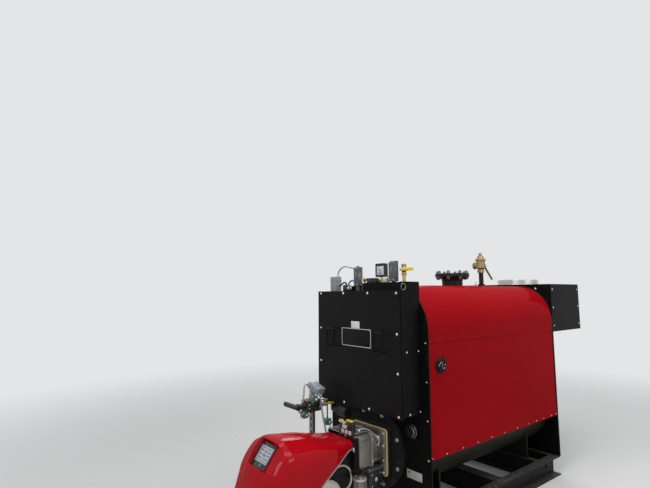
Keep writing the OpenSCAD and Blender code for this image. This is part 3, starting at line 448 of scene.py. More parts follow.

# Front smoke box: folded sheet-steel box on the front end plate, between two side panels with a
# lifting eye, closed by a flat bolted door with two lift-off handles. The door and handles take a lighter
# copy of the same satin black enamel: painted light, against the painted shade of the plates' copy.
door_enamel_lit = painted("door_black_lit", (0.0092, 0.009, 0.0087), (0.0066, 0.0064, 0.0062), (0.08, 0.076, 0.07),
    tone=1.8, rough=(0.34, 0.44), peel=620, smudge=0.2, dust_color=(0.2, 0.19, 0.18), radius=0.0025,
    wear=0.3, bump=0.12, specular=0.06)
dress(door_enamel_lit, "front_door", "door_handles")
door_bolts = bmesh.new()
door_washers = bmesh.new()
for side in (-1, 1):
    for x, z in ((382, 1499), (124, 1499), (382, 1245), (382, 1005), (382, 749), (124, 749)):
        spot = at(side * x, -177, z)
        turned(door_bolts, spot, FRONT, [(8.2, 1.6), (8.0, 3.2), (6.6, 5.4), (4.2, 6.8), (1.6, 7.3)], 20)
        turned(door_washers, spot, FRONT, [(12.5, -0.3), (12.5, 1.6), (11.6, 2.0)], 24)
made_piece("door_bolts", door_bolts, zinc_screw)
washer_skin = metal("black_washer", (0.035, 0.034, 0.033), (0.02, 0.02, 0.02), (0.1, 0.1, 0.1), stain=0.3,
    grain=300, rough=(0.45, 0.65), radius=0.0006, metallic=0.3)
made_piece("door_washers", door_washers, washer_skin)


def block(shape, low, high, rounding=1.0, segments=2, lean=None):
    """A solid between two corners in millimetres, its edges rounded; lean sets it in a tilted frame."""
    if lean is None:
        low, high = at(*low), at(*high)
    else:
        low, high = Vector(low) / 1000, Vector(high) / 1000
    before = set(shape.verts)
    made = bmesh.ops.create_cube(shape, size=1.0)["verts"]
    for v in made:
        v.co = Vector([min(a, b) + abs(b - a) * (c + 0.5) for a, b, c in zip(low, high, v.co)])
    edges = list({e for v in made for e in v.link_edges})
    bmesh.ops.bevel(shape, geom=edges, offset=rounding / 1000, segments=segments, affect="EDGES",
                    profile=0.5, clamp_overlap=True)
    if lean is not None:
        for v in set(shape.verts) - before:
            v.co = lean @ v.co


# The side sheets take the darker copy of the black enamel: painted shade
sheets = bmesh.new()
block(sheets, (415, -177, 748), (418, 0, 1520), 0.6, 1)
block(sheets, (-418, -177, 748), (-415, 0, 1515), 0.6, 1)
outer = [(-177, 1519), (-177, 1568), (-173, 1572), (-4, 1572), (0, 1568), (0, 1519)]
hole = [(-150 + 21.5 * cos(a), 1540 + 20.9 * sin(a)) for a in angles(32, 0)]
ear = [[[sheets.verts.new(at(x, y, z)) for y, z in line] for line in (outer, hole)] for x in (415, 418)]
for faced in ear:
    rims = [sheets.edges.new(ends) for ring in faced for ends in zip(ring, ring[1:] + ring[:1])]
    bmesh.ops.triangle_fill(sheets, use_beauty=True, edges=rims)
for one, two in zip(*ear):
    for k in range(len(one)):
        n = (k + 1) % len(one)
        sheets.faces.new((one[k], one[n], two[n], two[k]))
sheets_piece = made_piece("box_side_sheets", sheets, plate_enamel_shaded)
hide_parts("box_side_panels")
box_screws = bmesh.new()
for side in (-1, 1):
    for y, z in ((-132, 1135), (-21, 1134), (-115, 761), (-18, 764)):
        pan_screw(box_screws, at(side * 418, y, z), (side, 0, 0), 4.6)
made_piece("box_screws", box_screws, zinc_screw)
eye_ring = bmesh.new()
turns = [radians(a) for a in range(0, 361, 24)]
tube(eye_ring, [(417, -150 + 20.4 * cos(a), 1540 + 20.4 * sin(a)) for a in turns], 2.4, 8, 3)
made_piece("eye_ring", eye_ring, catch_skin)

# Nameplate and label: a bare black plate in a thin silver frame, riveted to the door, and a small
# blank white label stuck above it.
plate_frame = bmesh.new()
for x0, z0, x1, z1 in ((-143, 1138, 150, 1142.5), (-143, 1255.5, 150, 1260), (-143, 1138, -138.5, 1260),
                       (145.5, 1138, 150, 1260)):
    block(plate_frame, (x0, -179.4, z0), (x1, -177.2, z1), 0.6)
for x in (-134, 141):
    for z in (1147, 1251):
        turned(plate_frame, at(x, -178.6, z), FRONT, [(3.2, 0), (2.8, 0.8), (1.2, 1.3)], 12)
silver_line = metal("silver_frame", (0.62, 0.62, 0.6), (0.5, 0.5, 0.49), (0.7, 0.7, 0.7), stain=0.15,
    grain=500, rough=(0.35, 0.5), radius=0.0005, wear=0.2, metallic=0.8)
made_piece("nameplate_frame", plate_frame, silver_line)
plate_field = bmesh.new()
block(plate_field, (-143, -178.8, 1138), (150, -177.0, 1260), 0.5)
field_skin = metal("nameplate_black", (0.012, 0.012, 0.013), (0.008, 0.008, 0.008), (0.05, 0.05, 0.05),
    stain=0.1, grain=240, rough=(0.22, 0.34), along=0.05, radius=0.0005, wear=0.2, specular=0.05)
made_piece("nameplate", plate_field, field_skin)
label = bmesh.new()
block(label, (-44, -177.7, 1261), (40, -177.0, 1308), 0.3)
label_skin = painted("label_white", (0.74, 0.74, 0.72), (0.62, 0.62, 0.6), (0.5, 0.5, 0.48), tone=25,
    rough=(0.45, 0.55), peel=900, dust=0.1, radius=0.0004, wear=0.3, bump=0.05)
made_piece("door_label", label, label_skin)

# Cleanout cap and tag: a round cast cap on the end plate beside the burner, with a bright metal
# crescent on the right of its rims as a painted highlight, and a blank stamped tag of pale aluminium below it
# with one hole.
rim_highlight_metal = metal("rim_painted_highlight", (0.62, 0.62, 0.6), (0.3, 0.3, 0.29), (0.7, 0.7, 0.68), stain=0.4, grain=300,
    rough=(0.28, 0.45), radius=0.0008, wear=0.5, metallic=0.9)
cap_skin = painted("cleanout_black", (0.009, 0.009, 0.009), (0.005, 0.005, 0.005), (0.12, 0.12, 0.118),
    tone=20, rough=(0.3, 0.5), peel=400, dust=0.2, smudge=0.2, radius=0.002, break_scale=14,
    bump=0.2, specular=0.15)
dress(cap_skin, "cleanout_cap")
CAP_X, CAP_Z = 338, 630
cap = bmesh.new()
turned(cap, at(CAP_X, 0, CAP_Z), FRONT,
       [(43, 0), (43, 19), (41, 22), (35, 22), (33.5, 23), (33.5, 32), (31.5, 34), (12, 34.6), (11, 33)], 48)
for a in angles(24, 0):
    turned(cap, at(CAP_X + 43 * cos(a), -5, CAP_Z + 43 * sin(a)), FRONT,
           [(1.8, 0), (1.8, 12), (1, 13)], 6)
block(cap, (CAP_X - 26, -37, CAP_Z - 4), (CAP_X + 26, -33, CAP_Z + 4), 1.2)
cap_piece = made_piece("cleanout_cover", cap, cap_skin)
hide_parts("cleanout_cap")
# Bright arcs on the right side of the cap's two rims: a painted highlight
crescent = bmesh.new()
for reach, out in ((42.6, 21.6), (33.2, 33.4)):
    turns = [radians(a) for a in range(-62, 79, 14)]
    tube(crescent, [(CAP_X + reach * cos(a), -out,
        CAP_Z + reach * sin(a)) for a in turns], 1.5, 8, 2)
made_piece("cleanout_rim_highlight", crescent, rim_highlight_metal)
tag = bmesh.new()
block(tag, (280, -3.6, 334), (402, -0.2, 386), 1.2)
tag_skin = metal("tag_aluminium", (0.52, 0.49, 0.44), (0.36, 0.33, 0.29), (0.6, 0.58, 0.54), stain=0.7,
    grain=120, rough=(0.4, 0.6), stain_color=(0.1, 0.07, 0.04), radius=0.0012, wear=0.6,
    bump=0.3, metallic=0.4)
made_piece("rating_tag", tag, tag_skin)
tag_hole = bmesh.new()
turned(tag_hole, at(300, -3.4, 370), FRONT, [(7, -0.2), (7, 0.3), (3, 0.35)], 18)
made_piece("rating_tag_hole", tag_hole, field_skin)

# Instruments: along the box's top a pale junction box, two dark limit controls on short necks,
# a black square gauge on a brass stem, a small brass vent valve, and small fittings between them.
box_enamel = painted("junction_grey", (0.26, 0.3, 0.3), (0.2, 0.235, 0.235), (0.5, 0.52, 0.5), tone=14,
    rough=(0.4, 0.55), peel=900, dust=0.4, wear=0.5, bump=0.25, depth=0.0003, specular=0.4)
dress(box_enamel, "junction_box")
hammered = painted("control_grey", (0.075, 0.08, 0.088), (0.045, 0.048, 0.054), (0.35, 0.36, 0.37), tone=22,
    rough=(0.32, 0.5), peel=330, dust=0.4, radius=0.002, wear=0.7, bump=0.5, depth=0.0008, specular=0.5)
dress(hammered, "limit_controls")
black_plastic = painted("moulded_black", (0.014, 0.0142, 0.015), (0.009, 0.009, 0.0095), (0.05, 0.05, 0.05),
    tone=30, rough=(0.34, 0.5), peel=1500, dust=0.35, smudge=0.3, radius=0.0012, wear=0.3, bump=0.25,
    depth=0.0003, specular=0.45)
dress(black_plastic, "pressure_gauge")
brass_skin = metal("brass", (0.56, 0.4, 0.17), (0.36, 0.25, 0.11), (0.85, 0.62, 0.28), stain=0.5, grain=260,
    rough=(0.25, 0.45), stain_color=(0.1, 0.06, 0.03), radius=0.001, wear=0.5, bump=0.15,
    depth=0.0003, metallic=1)
dress(brass_skin, "vent_valve")
bright_metal = metal("bright_fitting", (0.7, 0.7, 0.68), (0.5, 0.5, 0.49), (0.8, 0.8, 0.78), stain=0.35,
    grain=300, rough=(0.22, 0.4), radius=0.001, bump=0.15, depth=0.0003, metallic=1)
yellow_grip = painted("lever_yellow", (0.8, 0.6, 0.02), (0.7, 0.5, 0.015), (0.5, 0.36, 0.05), tone=40,
    rough=(0.3, 0.45), peel=1200, dust=0.25, smudge=0.6, dust_color=(0.4, 0.35, 0.2), wear=0.5,
    bump=0.2, depth=0.0003)
dress(yellow_grip, "vent_lever", "gas_lever")

instrument_screws = bmesh.new()
for x in (-322, -270):
    for z in (1528, 1580, 1613):
        pan_screw(instrument_screws, at(x, -128, z), FRONT, 2.6)
CONTROLS_AT = ((-62, 1552), (282, 1576))
for x, z in CONTROLS_AT:
    for dx in (-16, 16):
        pan_screw(instrument_screws, at(x + dx, -112, z + 10), FRONT, 2.4)
made_piece("instrument_screws", instrument_screws, zinc_screw)

control_windows = bmesh.new()
for x, z in CONTROLS_AT:
    block(control_windows, (x - 13, -113.2, z + 58), (x + 13, -111.6, z + 104))
    block(control_windows, (x + 22.6, -104, z + 30), (x + 23.6, -80, z + 92), 0.4)
window_skin = painted("control_window", (0.16, 0.17, 0.18), (0.1, 0.105, 0.11), (0.3, 0.3, 0.3), tone=60,
    rough=(0.15, 0.3), peel=600, radius=0.0006, wear=0.3, bump=0.05)
made_piece("control_windows", control_windows, window_skin)

control_knob = bmesh.new()
KNOB_AT = at(263, -101, 1688)
KNOB_AXIS = Vector((-0.55, -0.8, 0.2))
turned(control_knob, KNOB_AT, KNOB_AXIS, [(15, -1), (15, 5), (13.4, 7), (7, 7.6), (6.2, 9.5), (2, 10)], 24)
knob_turn = KNOB_AXIS.to_track_quat("Z", "Y").to_matrix()
for a in angles(20, 0):
    spot = KNOB_AT + knob_turn @ Vector((0.0149 * cos(a), 0.0149 * sin(a), 0.0025))
    turned(control_knob, spot, KNOB_AXIS, [(1.3, -2.4), (1.3, 2.2)], 6)
turned(control_knob, at(-62, -90, 1686), UP, [(10, -0.5), (10, 6), (7, 9), (3, 9.4)], 20)
made_piece("control_knobs", control_knob, hammered)

gauge_face = bmesh.new()
block(gauge_face, (135, -98.6, 1623), (201, -97.5, 1682), 0.3)
face_skin = painted("gauge_face", (0.6, 0.66, 0.72), (0.5, 0.57, 0.64), (0.4, 0.45, 0.5), tone=18,
    rough=(0.12, 0.2), peel=200, dust=0, smudge=0.3, radius=0.0004, wear=0.1, bump=0.02, coat=0.6)
made_piece("gauge_face", gauge_face, face_skin)
gauge_marks = bmesh.new()
DIAL_X, DIAL_Z = 168, 1653
for k in range(13):
    a = radians(225 - 270 * k / 12)
    for r in (25, 27.5, 30):
        turned(gauge_marks, at(DIAL_X + r * cos(a), -98.7, DIAL_Z + r * sin(a)), FRONT,
               [(1.15 if k % 3 else 1.7, -0.1), (1.0, 0.25)], 8)
needle = [(DIAL_X + cos(2.4) * s, -100.4, DIAL_Z + sin(2.4) * s) for s in (-9, 2, 14, 24)]
tube(gauge_marks, needle, 1.1, 6, 2)
turned(gauge_marks, at(DIAL_X, -98.6, DIAL_Z), FRONT, [(4.4, 0), (4.4, 2.6), (3, 3.2)], 16)
block(gauge_marks, (156, -98.9, 1634), (180, -98.5, 1638), 0.2)
block(gauge_marks, (160, -98.9, 1628), (176, -98.5, 1630.5), 0.2)
made_piece("gauge_marks", gauge_marks, field_skin)
gauge_stem = bmesh.new()
turned(gauge_stem, at(172, -89, 1570), UP,
       [(11, 0), (11, 4), (8, 5), (8, 12), (7.4, 13), (7.4, 30), (9.5, 31), (9.5, 37.6)], 20)
hex_head(gauge_stem, at(172, -89, 1580), UP, 13.5, 14)
made_piece("gauge_stem", gauge_stem, brass_skin)

# Small fittings on the ledge: a black cable gland with a silver cap, a bright union with a brass
# nut, a low black terminal box and a small white relay box.
gland = bmesh.new()
block(gland, (-207, -112, 1514.8), (-162, -66, 1560), 3)
tube(gland, [(-192, -90, 1558), (-192, -92, 1572), (-200, -92, 1578), (-222, -94, 1575), (-246, -97, 1560),
    (-260, -100, 1556)], 6, 10)
turned(gland, at(-162, -96, 1535), (1, -0.35, 0), [(16, -2), (16, 14), (12, 16)], 20)
tube(gland, [(-186, -78, 1560), (-160, -74, 1588), (-128, -76, 1590), (-104, -84, 1572),
    (-92, -88, 1560)], 5, 10)
made_piece("cable_gland", gland, black_plastic)
gland_cap = bmesh.new()
turned(gland_cap, at(-149, -100.6, 1535), (1, -0.35, 0),
       [(17, 0), (17, 6), (15.6, 8.2), (11, 10), (5, 10.8)], 24)
made_piece("gland_cap", gland_cap, bright_metal)
union = bmesh.new()
turned(union, at(-6, -90, 1514.8), UP, [(11, 0), (11, 62), (9, 66)], 20)
turned(union, at(-6, -90, 1592), (0.96, -0.1, 0.24), [(9, -14), (9, 8), (13, 9), (13, 16),
    (8, 17), (8, 34)], 20)
turned(union, at(-6, -90, 1592), UP, [(13, -14), (14, -8), (14, 8), (10, 13), (4, 14)], 20)
made_piece("ledge_union", union, bright_metal)
union_nut = bmesh.new()
hex_head(union_nut, at(8, -91.5, 1595.5), (0.96, -0.1, 0.24), 13, 14)
turned(union_nut, at(26, -90, 1514.8), UP, [(8, 0), (8, 58), (6, 60)], 16)
hex_head(union_nut, at(26, -90, 1560), UP, 12.5, 14)
made_piece("union_nut", union_nut, brass_skin)
terminal = bmesh.new()
block(terminal, (48, -112, 1569.6), (140, -66, 1594), 2.5)
block(terminal, (44, -114, 1592), (122, -64, 1603), 2.0)
block(terminal, (138, -106, 1569.6), (160, -72, 1586), 2.0)
made_piece("terminal_box", terminal, black_plastic)
relay = bmesh.new()
block(relay, (199, -112, 1569.6), (238, -80, 1601), 2.5)
block(relay, (207, -113.4, 1577), (230, -111.6, 1594), 0.8)
tube(relay, [(232, -96, 1598), (240, -98, 1606), (250, -98, 1618)], 3.0, 8)
relay_skin = painted("relay_white", (0.62, 0.61, 0.56), (0.52, 0.51, 0.46), (0.4, 0.38, 0.33), tone=30,
    rough=(0.35, 0.5), peel=1400, radius=0.0012, bump=0.15, depth=0.0003)
made_piece("relay_box", relay, relay_skin)
vent_grip = bmesh.new()
block(vent_grip, (388, -94.5, 1642), (448, -82.5, 1662), 4, 3)
made_piece("vent_lever_grip", vent_grip, yellow_grip, "vent_lever_arm")
lever_nut = bmesh.new()
hex_head(lever_nut, at(347, -91.3, 1652), FRONT, 7.5, 5)
made_piece("vent_lever_nut", lever_nut, bright_metal)

# Nozzles: six-inch forged flanges on welded pipe, black paint, with eight studs and nuts each.
flange_paint = painted("flange_black", (0.014, 0.0138, 0.0135), (0.008, 0.008, 0.0078), (0.14, 0.11, 0.08),
    tone=9, rough=(0.36, 0.58), peel=260, dust=0.45, smudge=0.4, radius=0.0025, wear=0.5, bump=0.35,
    depth=0.0007, specular=0.15)
dress(flange_paint, "supply_nozzle", "return_nozzle", "relief_nipple")
studs = bmesh.new()


def stud(place, axis, below, above):
    """A threaded stud through a flange hole, with a nut on each side."""
    a = Vector(axis)
    outline = []
    height = -below
    while height < above:
        outline += [(9.4, height), (10.2, height + 1.2), (9.4, height + 2.4)]
        height += 2.4
    turned(studs, place, axis, outline, 14)
    hex_head(studs, place, axis, 16, 16)
    hex_head(studs, place - a * 0.026, tuple(-a), 16, 16, 0.5)


BOLT_CIRCLE = 120.65
for a in angles(8):
    x, over = BOLT_CIRCLE * cos(a), BOLT_CIRCLE * sin(a)
    stud(at(x, 932 + over, 1660), UP, 50, 24)
    stud(at(x, 1785, 490 + over), (0, 1, 0), 50, 24)
stud_skin = metal("stud_steel", (0.2, 0.195, 0.185), (0.1, 0.097, 0.09), (0.5, 0.48, 0.45), stain=0.6,
    grain=220, rough=(0.35, 0.6), stain_color=(0.06, 0.04, 0.025), radius=0.001, wear=0.5,
    bump=0.25, metallic=0.9)
made_piece("flange_studs", studs, stud_skin)

# Relief valve: a cast bronze body on a black nipple, with its outlet to the left and a green
# test lever between two lugs at the back. A small test plug stands in the cover before it.
bronze_skin = metal("bronze", (0.36, 0.28, 0.15), (0.25, 0.18, 0.09), (0.6, 0.46, 0.25), stain=0.55,
    grain=150, rough=(0.36, 0.58), stain_color=(0.1, 0.06, 0.03), wear=0.5, bump=0.5,
    depth=0.0006, metallic=0.85)
dress(bronze_skin, "relief_valve")
green_enamel = painted("lever_green", (0.16, 0.22, 0.02), (0.11, 0.16, 0.015), (0.3, 0.3, 0.26), tone=40,
    rough=(0.3, 0.45), peel=900, dust=0.25, wear=0.7, bump=0.2, depth=0.0003)
dress(green_enamel, "relief_lever")
plug = bmesh.new()
turned(plug, at(0, 1290, 1555.2), UP, [(15, 0), (15, 4), (11, 5), (11, 20)], 20)
hex_head(plug, at(0, 1290, 1572), UP, 15, 15)
turned(plug, at(0, 1290, 1586), UP, [(8, 0), (8, 10), (5, 12)], 16)
made_piece("cover_plug", plug, bright_metal)
relief_trim = bmesh.new()
for a in angles(4):
    hex_head(relief_trim, at(40 * cos(a), 1366 + 40 * sin(a), 1802.5), UP, 5, 6)
for x in (-14, 14):
    turned(relief_trim, at(x, 1420, 1746.6), (copysign(1, x), 0, 0), [(6.5, -0.2), (6.5, 2), (4, 3)], 16)
made_piece("relief_trim", relief_trim, bright_metal)

# Rear smoke box: folded sheet steel like the front one, bolted to the rear end plate, with a
# plain stainless sleeve standing on its top.
rear_bolts = bmesh.new()
for side in (-1, 1):
    for z in (1215, 1370, 1525):
        for y in (1696, 2184):
            pan_screw(rear_bolts, at(side * 475, y, z), (side, 0, 0), 5.0)
    pan_screw(rear_bolts, at(side * 340, 1670, 1532), FRONT, 7.0)
    for z in (1215, 1370, 1525):
        pan_screw(rear_bolts, at(side * 430, 2210, z), (0, 1, 0), 5.0)
for x in (-215, 0, 215):
    for z in (1215, 1525):
        pan_screw(rear_bolts, at(x, 2210, z), (0, 1, 0), 5.0)
made_piece("rear_box_bolts", rear_bolts, zinc_screw)
sleeve_skin = metal("stainless", (0.62, 0.62, 0.6), (0.5, 0.5, 0.48), (0.75, 0.75, 0.73), stain=0.25,
    grain=60, rough=(0.28, 0.42), stain_color=(0.3, 0.26, 0.2), along=14, radius=0.001, wear=0.3,
    depth=0.0003, metallic=1)
dress(sleeve_skin, "flue_collar")
flue_screws = bmesh.new()
SLEEVE_Y = 2000
for a in angles(12):
    x, y = cos(a), sin(a)
    pan_screw(flue_screws, at(185 * x, SLEEVE_Y + 185 * y, 1602), (x, y, 0), 3.0)
    pan_screw(flue_screws, at(196 * x, SLEEVE_Y + 196 * y, 1576), UP, 3.2)
made_piece("flue_screws", flue_screws, zinc_screw)

# Furnace front: a round plate and a square pad on the front end plate, held by eight bolts on a
# circle. Between the pad and the burner sits a woven, heat-browned gasket that stands out.
front_bolts = bmesh.new()
for k, a in enumerate(angles(8)):
    hex_head(front_bolts, at(236 * cos(a), -25, 457 + 236 * sin(a)), FRONT, 11, 11, k * 0.21)
made_piece("furnace_bolts", front_bolts, zinc_screw)
gasket_weave, weave, weave_out = shared_group("gasket_weave", {
    "Color": (0.45, 0.3, 0.1, 1), "Burnt": (0.2, 0.12, 0.04, 1), "Thread Scale": 420.0})
place = place_node(gasket_weave)
threads = {"Vector": place, "Scale": weave["Thread Scale"], "Distortion": 1.5}
one, two = [add_node(gasket_weave, "TexWave", threads, bands_direction=way)["Fac"] for way in "XZ"]
both = math_node(gasket_weave, "MULTIPLY", one, two)
heat = noise_node(gasket_weave, place, 16.0, 5.0)
tone = mix_node(gasket_weave, heat, weave["Color"], weave["Burnt"])
dark = range_node(gasket_weave, both, 0.0, 1.0, 0.65, 1.0)
give_out(gasket_weave, weave_out, mix_node(gasket_weave, dark, (0.16, 0.10, 0.035, 1), tone),
         range_node(gasket_weave, heat, 0.0, 1.0, 0.8, 0.95), both)
gasket_skin = finish("gasket_tan", gasket_weave, {"Color": (0.98, 0.76, 0.38), "Burnt": (0.8, 0.56, 0.24),
    "Thread Scale": 130.0}, (0.6, 0.45, 0.25), radius=0.002, bump=0.8, depth=0.001)
dress(gasket_skin, "burner_gasket")

# Burner casting: an as-cast, blasted aluminium body with end ribs and a neck, bolted through the
# gasket. Its linkages and screws are bright, and a seam runs down each side.
cast_skin, cast, cast_out = shared_group("cast_skin", {
    "Color": (0.45, 0.45, 0.43, 1), "Dull": (0.3, 0.3, 0.28, 1), "Grime": (0.09, 0.08, 0.06, 1),
    "Grime Amount": 0.4, "Pit Scale": 260.0})
place = place_node(cast_skin)
pits = add_node(cast_skin, "TexVoronoi", {"Vector": place, "Scale": cast["Pit Scale"]}, feature="F1")
cloud = noise_node(cast_skin, place, 9.0, 7.0, 0.65)
fine = noise_node(cast_skin, place, 120.0, 5.0, 0.7)
tone = mix_node(cast_skin, cloud, cast["Dull"], cast["Color"])
grime = math_node(cast_skin, "MULTIPLY", range_node(cast_skin, cloud, 0.52, 0.3), cast["Grime Amount"])
grime = math_node(cast_skin, "MULTIPLY", grime, fine)
give_out(cast_skin, cast_out, mix_node(cast_skin, grime, tone, cast["Grime"]),
         range_node(cast_skin, fine, 0.3, 0.7, 0.42, 0.62),
         math_node(cast_skin, "MULTIPLY_ADD", fine, 0.6, pits["Distance"]))


def slab(shape, y0, y1, half, z0, z1, r, soft=3.0):
    """A rounded rectangle carried along the boiler, both of its ends eased."""
    rings = []
    for y, inset in ((y0, soft), (y0 + soft * 0.3, soft * 0.3), (y0 + soft, 0), (y1 - soft, 0),
                     (y1 - soft * 0.3, soft * 0.3), (y1, soft)):
        ring = []
        for x, z, start in ((half - r, z1 - r, 0), (r - half, z1 - r, 90), (r - half, z0 + r, 180),
                            (half - r, z0 + r, 270)):
            for k in range(7):
                a = radians(start + 15 * k)
                ring.append(shape.verts.new(
                    at(x + (r - inset) * cos(a), y, z + (r - inset) * sin(a))))
        rings.append(ring)
    skinned(shape, rings)


casting_alloy = finish("cast_alu", cast_skin, {"Color": (0.31, 0.3, 0.265), "Dull": (0.2, 0.19, 0.165),
    "Grime Amount": 1.3, "Pit Scale": 320.0}, (0.62, 0.61, 0.58), radius=0.003, wear=0.6, bump=0.5,
    depth=0.0006, metallic=0.75)
dress(casting_alloy, "burner_casting")
casting = bmesh.new()
slab(casting, -310, -165, 140, 397, 597, 18)
for y in (-310, -177):
    slab(casting, y, y + 12, 146, 391, 603, 22)
slab(casting, -166, -74, 132, 407, 587, 20)
slab(casting, -75, -62, 158.5, 313.5, 600.5, 24)
slab(casting, -167, -117, 87, 566, 605, 12)
for side in (-1, 1):
    for z in (430, 548):
        block(casting, (side * 128, -166, z), (side * 146, -70, z + 9), 2.5)
    for y in (-276, -238, -200):
        block(casting, (side * 138, y, 404), (side * 143.5, y + 6, 412), 1.5)
for x in (-96, -32, 32, 96):
    block(casting, (x - 4, -164, 400), (x + 4, -72, 409), 2.0)
casting_piece = made_piece("casting_body", casting, casting_alloy)
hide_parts("burner_casting")
cast_parts = bmesh.new()
for x in (-143, 143):
    for z in (335, 412, 502, 579):
        hex_head(cast_parts, at(x, -75, z), FRONT, 8, 11)
for x in (-85, 0, 85):
    hex_head(cast_parts, at(x, -75, 345), FRONT, 8, 10)
for side in (-1, 1):
    for y, z in ((-304, 560), (-304, 436), (-171, 566), (-171, 430)):
        turned(cast_parts, at(side * 146, y, z), (side, 0, 0),
            [(6.5, -0.3), (6.5, 2.6), (4.6, 4.4), (1.6, 5)], 16)
    turned(cast_parts, at(side * 132, -112, 562), (side, 0, 0),
           [(17, -1), (17, 10), (14, 12), (14, 18), (9, 20), (4, 20.5)], 20)
    turned(cast_parts, at(side * 132, -118, 520), (side, 0, 0), [(8, -1), (8, 12), (5, 14)], 16)
    tube(cast_parts, [(side * 147, -112, 562), (side * 148, -116, 548), (side * 146, -118, 534),
        (side * 143, -118, 520)], 3.4, 8)
tube(cast_parts, [(-60, -232, 609), (-20, -228, 619), (40, -226, 617), (92, -228, 607)], 5, 10)
for x in (-52, 24, 84):
    turned(cast_parts, at(x, -229, 602.5), UP, [(11, 0), (11, 12), (8, 15), (4, 24), (2, 24.5)], 16)
tube(cast_parts, [(84, -229, 621), (98, -200, 625), (112, -168, 612), (124, -140, 586),
    (134, -116, 566)], 3.6, 8)
made_piece("casting_linkage", cast_parts, bright_metal)
cast_cover = bmesh.new()
block(cast_cover, (-108, -296, 602.4), (108, -180, 613), 4, 3)
block(cast_cover, (-60, -160, 604), (60, -120, 614), 4, 3)
block(cast_cover, (20, -208, 612), (74, -182, 633), 4, 3)
for side in (-1, 1):
    block(cast_cover, (side * 139.5, -286, 414), (side * 144.5, -190, 560), 3.5, 3)
    block(cast_cover, (side * 139.5, -292, 566), (side * 144.5, -184, 590), 3.5, 3)
    block(cast_cover, (side * 131, -156, 424), (side * 136, -144, 574), 2.5)
    block(cast_cover, (side * 131, -134, 424), (side * 136, -122, 500), 2.5)
made_piece("casting_covers", cast_cover, casting_alloy)

# Burner controls: behind the hood's rear edge, a dark control unit with white, yellow and grey
# plugs in its side and short leads.
control_unit = bmesh.new()
block(control_unit, (-12, -321, 584), (118, -300, 636), 3)
block(control_unit, (66, -320, 632), (118, -299, 686), 3)
block(control_unit, (-8, -318, 632), (20, -302, 668), 2.5)
for k in range(4):
    tube(control_unit, [(4 + 30 * k, -304, 640), (4 + 30 * k, -292, 656), (8 + 30 * k, -280, 648),
        (12 + 28 * k, -268, 606)], 3.4, 8)
made_piece("control_unit", control_unit, black_plastic)
# The post takes the door's lighter copy of the black enamel: painted light
control_post = bmesh.new()
block(control_post, (118, -334, 405), (152, -297, 598), 4, 3)
block(control_post, (112, -342, 383), (153, -276, 410), 4)
made_piece("control_post", control_post, door_enamel_lit)
plugs_white = bmesh.new()
block(plugs_white, (-14, -324, 668), (50, -308, 676), 1.6)
block(plugs_white, (22, -325, 636), (60, -306, 656), 2)
block(plugs_white, (24, -323, 658), (42, -310, 668), 1.6)
for k in range(3):
    block(plugs_white, (14 + 34 * k, -325, 606), (38 + 34 * k, -314, 630), 1.6)
block(plugs_white, (136, -336, 520), (150, -333, 546))
made_piece("control_plugs_white", plugs_white, relay_skin)
plugs_yellow = bmesh.new()
block(plugs_yellow, (60, -324, 686), (112, -303, 695), 1.6)
block(plugs_yellow, (-10, -322, 677), (28, -310, 684), 1.4)
made_piece("control_plugs_yellow", plugs_yellow, yellow_grip)
plugs_grey = bmesh.new()
block(plugs_grey, (44, -327, 590), (66, -318, 602), 1.4)
block(plugs_grey, (2, -327, 594), (20, -318, 604), 1.4)
made_piece("control_plugs_grey", plugs_grey, window_skin)

# Burner hood: a glossy bright red moulding with soft shoulders, open below, and a recess for the
# display that is deep at its top. A pale rubber lip runs along its lower and rear edges.
HOOD_BACK, HOOD_LONG, HOOD_HALF, HOOD_FOOT, HOOD_HIGH = -322.0, 698.0, 215.0, 330.0, 342.0
TOP_LINE = ((0, 0.149), (0.021, 0.326), (0.083, 0.601), (0.159, 0.842), (0.221, 0.979), (0.27, 1),
            (0.311, 0.995), (0.546, 0.934), (0.934, 0.745), (1, 0.737))
LOW_LINE = ((0, 0.048), (0.062, 0), (0.447, 0), (0.593, 0.24), (0.78, 0.464), (0.913, 0.6), (1, 0.61))
PLAN_LINE = ((0, 0.607), (0.035, 0.666), (0.118, 0.935), (0.25, 1), (0.45, 0.953), (0.75, 0.84),
             (1, 0.632))
ROUND_LINE = ((0, 1.8), (0.2, 1.35), (0.45, 1.2), (1, 1))
HALF_SECTION = ((1, 0), (1, 0.1), (1, 0.2), (0.999, 0.31), (0.996, 0.42), (0.992, 0.5), (0.985, 0.58),
                (0.975, 0.64), (0.96, 0.7), (0.94, 0.752), (0.91, 0.8), (0.88, 0.838), (0.84, 0.868),
                (0.79, 0.893), (0.74, 0.91), (0.68, 0.924), (0.62, 0.935), (0.58, 0.941),
                (0.54, 0.947), (0.5, 0.954), (0.485, 0.96), (0.47, 0.968), (0.455, 0.975),
                (0.44, 0.98), (0.35, 0.989), (0.25, 0.996), (0.12, 0.999), (0, 1))


def looked_up(s, line):
    for (a, u), (b, v) in zip(line, line[1:]):
        if s <= b:
            return u + (v - u) * max(0, s - a) / (b - a)
    return line[-1][1]


def softened(s, line):
    return (looked_up(s - 0.016, line) + looked_up(s, line) + looked_up(s + 0.016, line)) / 3


def hood_y(s):
    return HOOD_BACK - HOOD_LONG * (1 - s)


def hood_low(s):
    return HOOD_FOOT + HOOD_HIGH * looked_up(s, LOW_LINE)


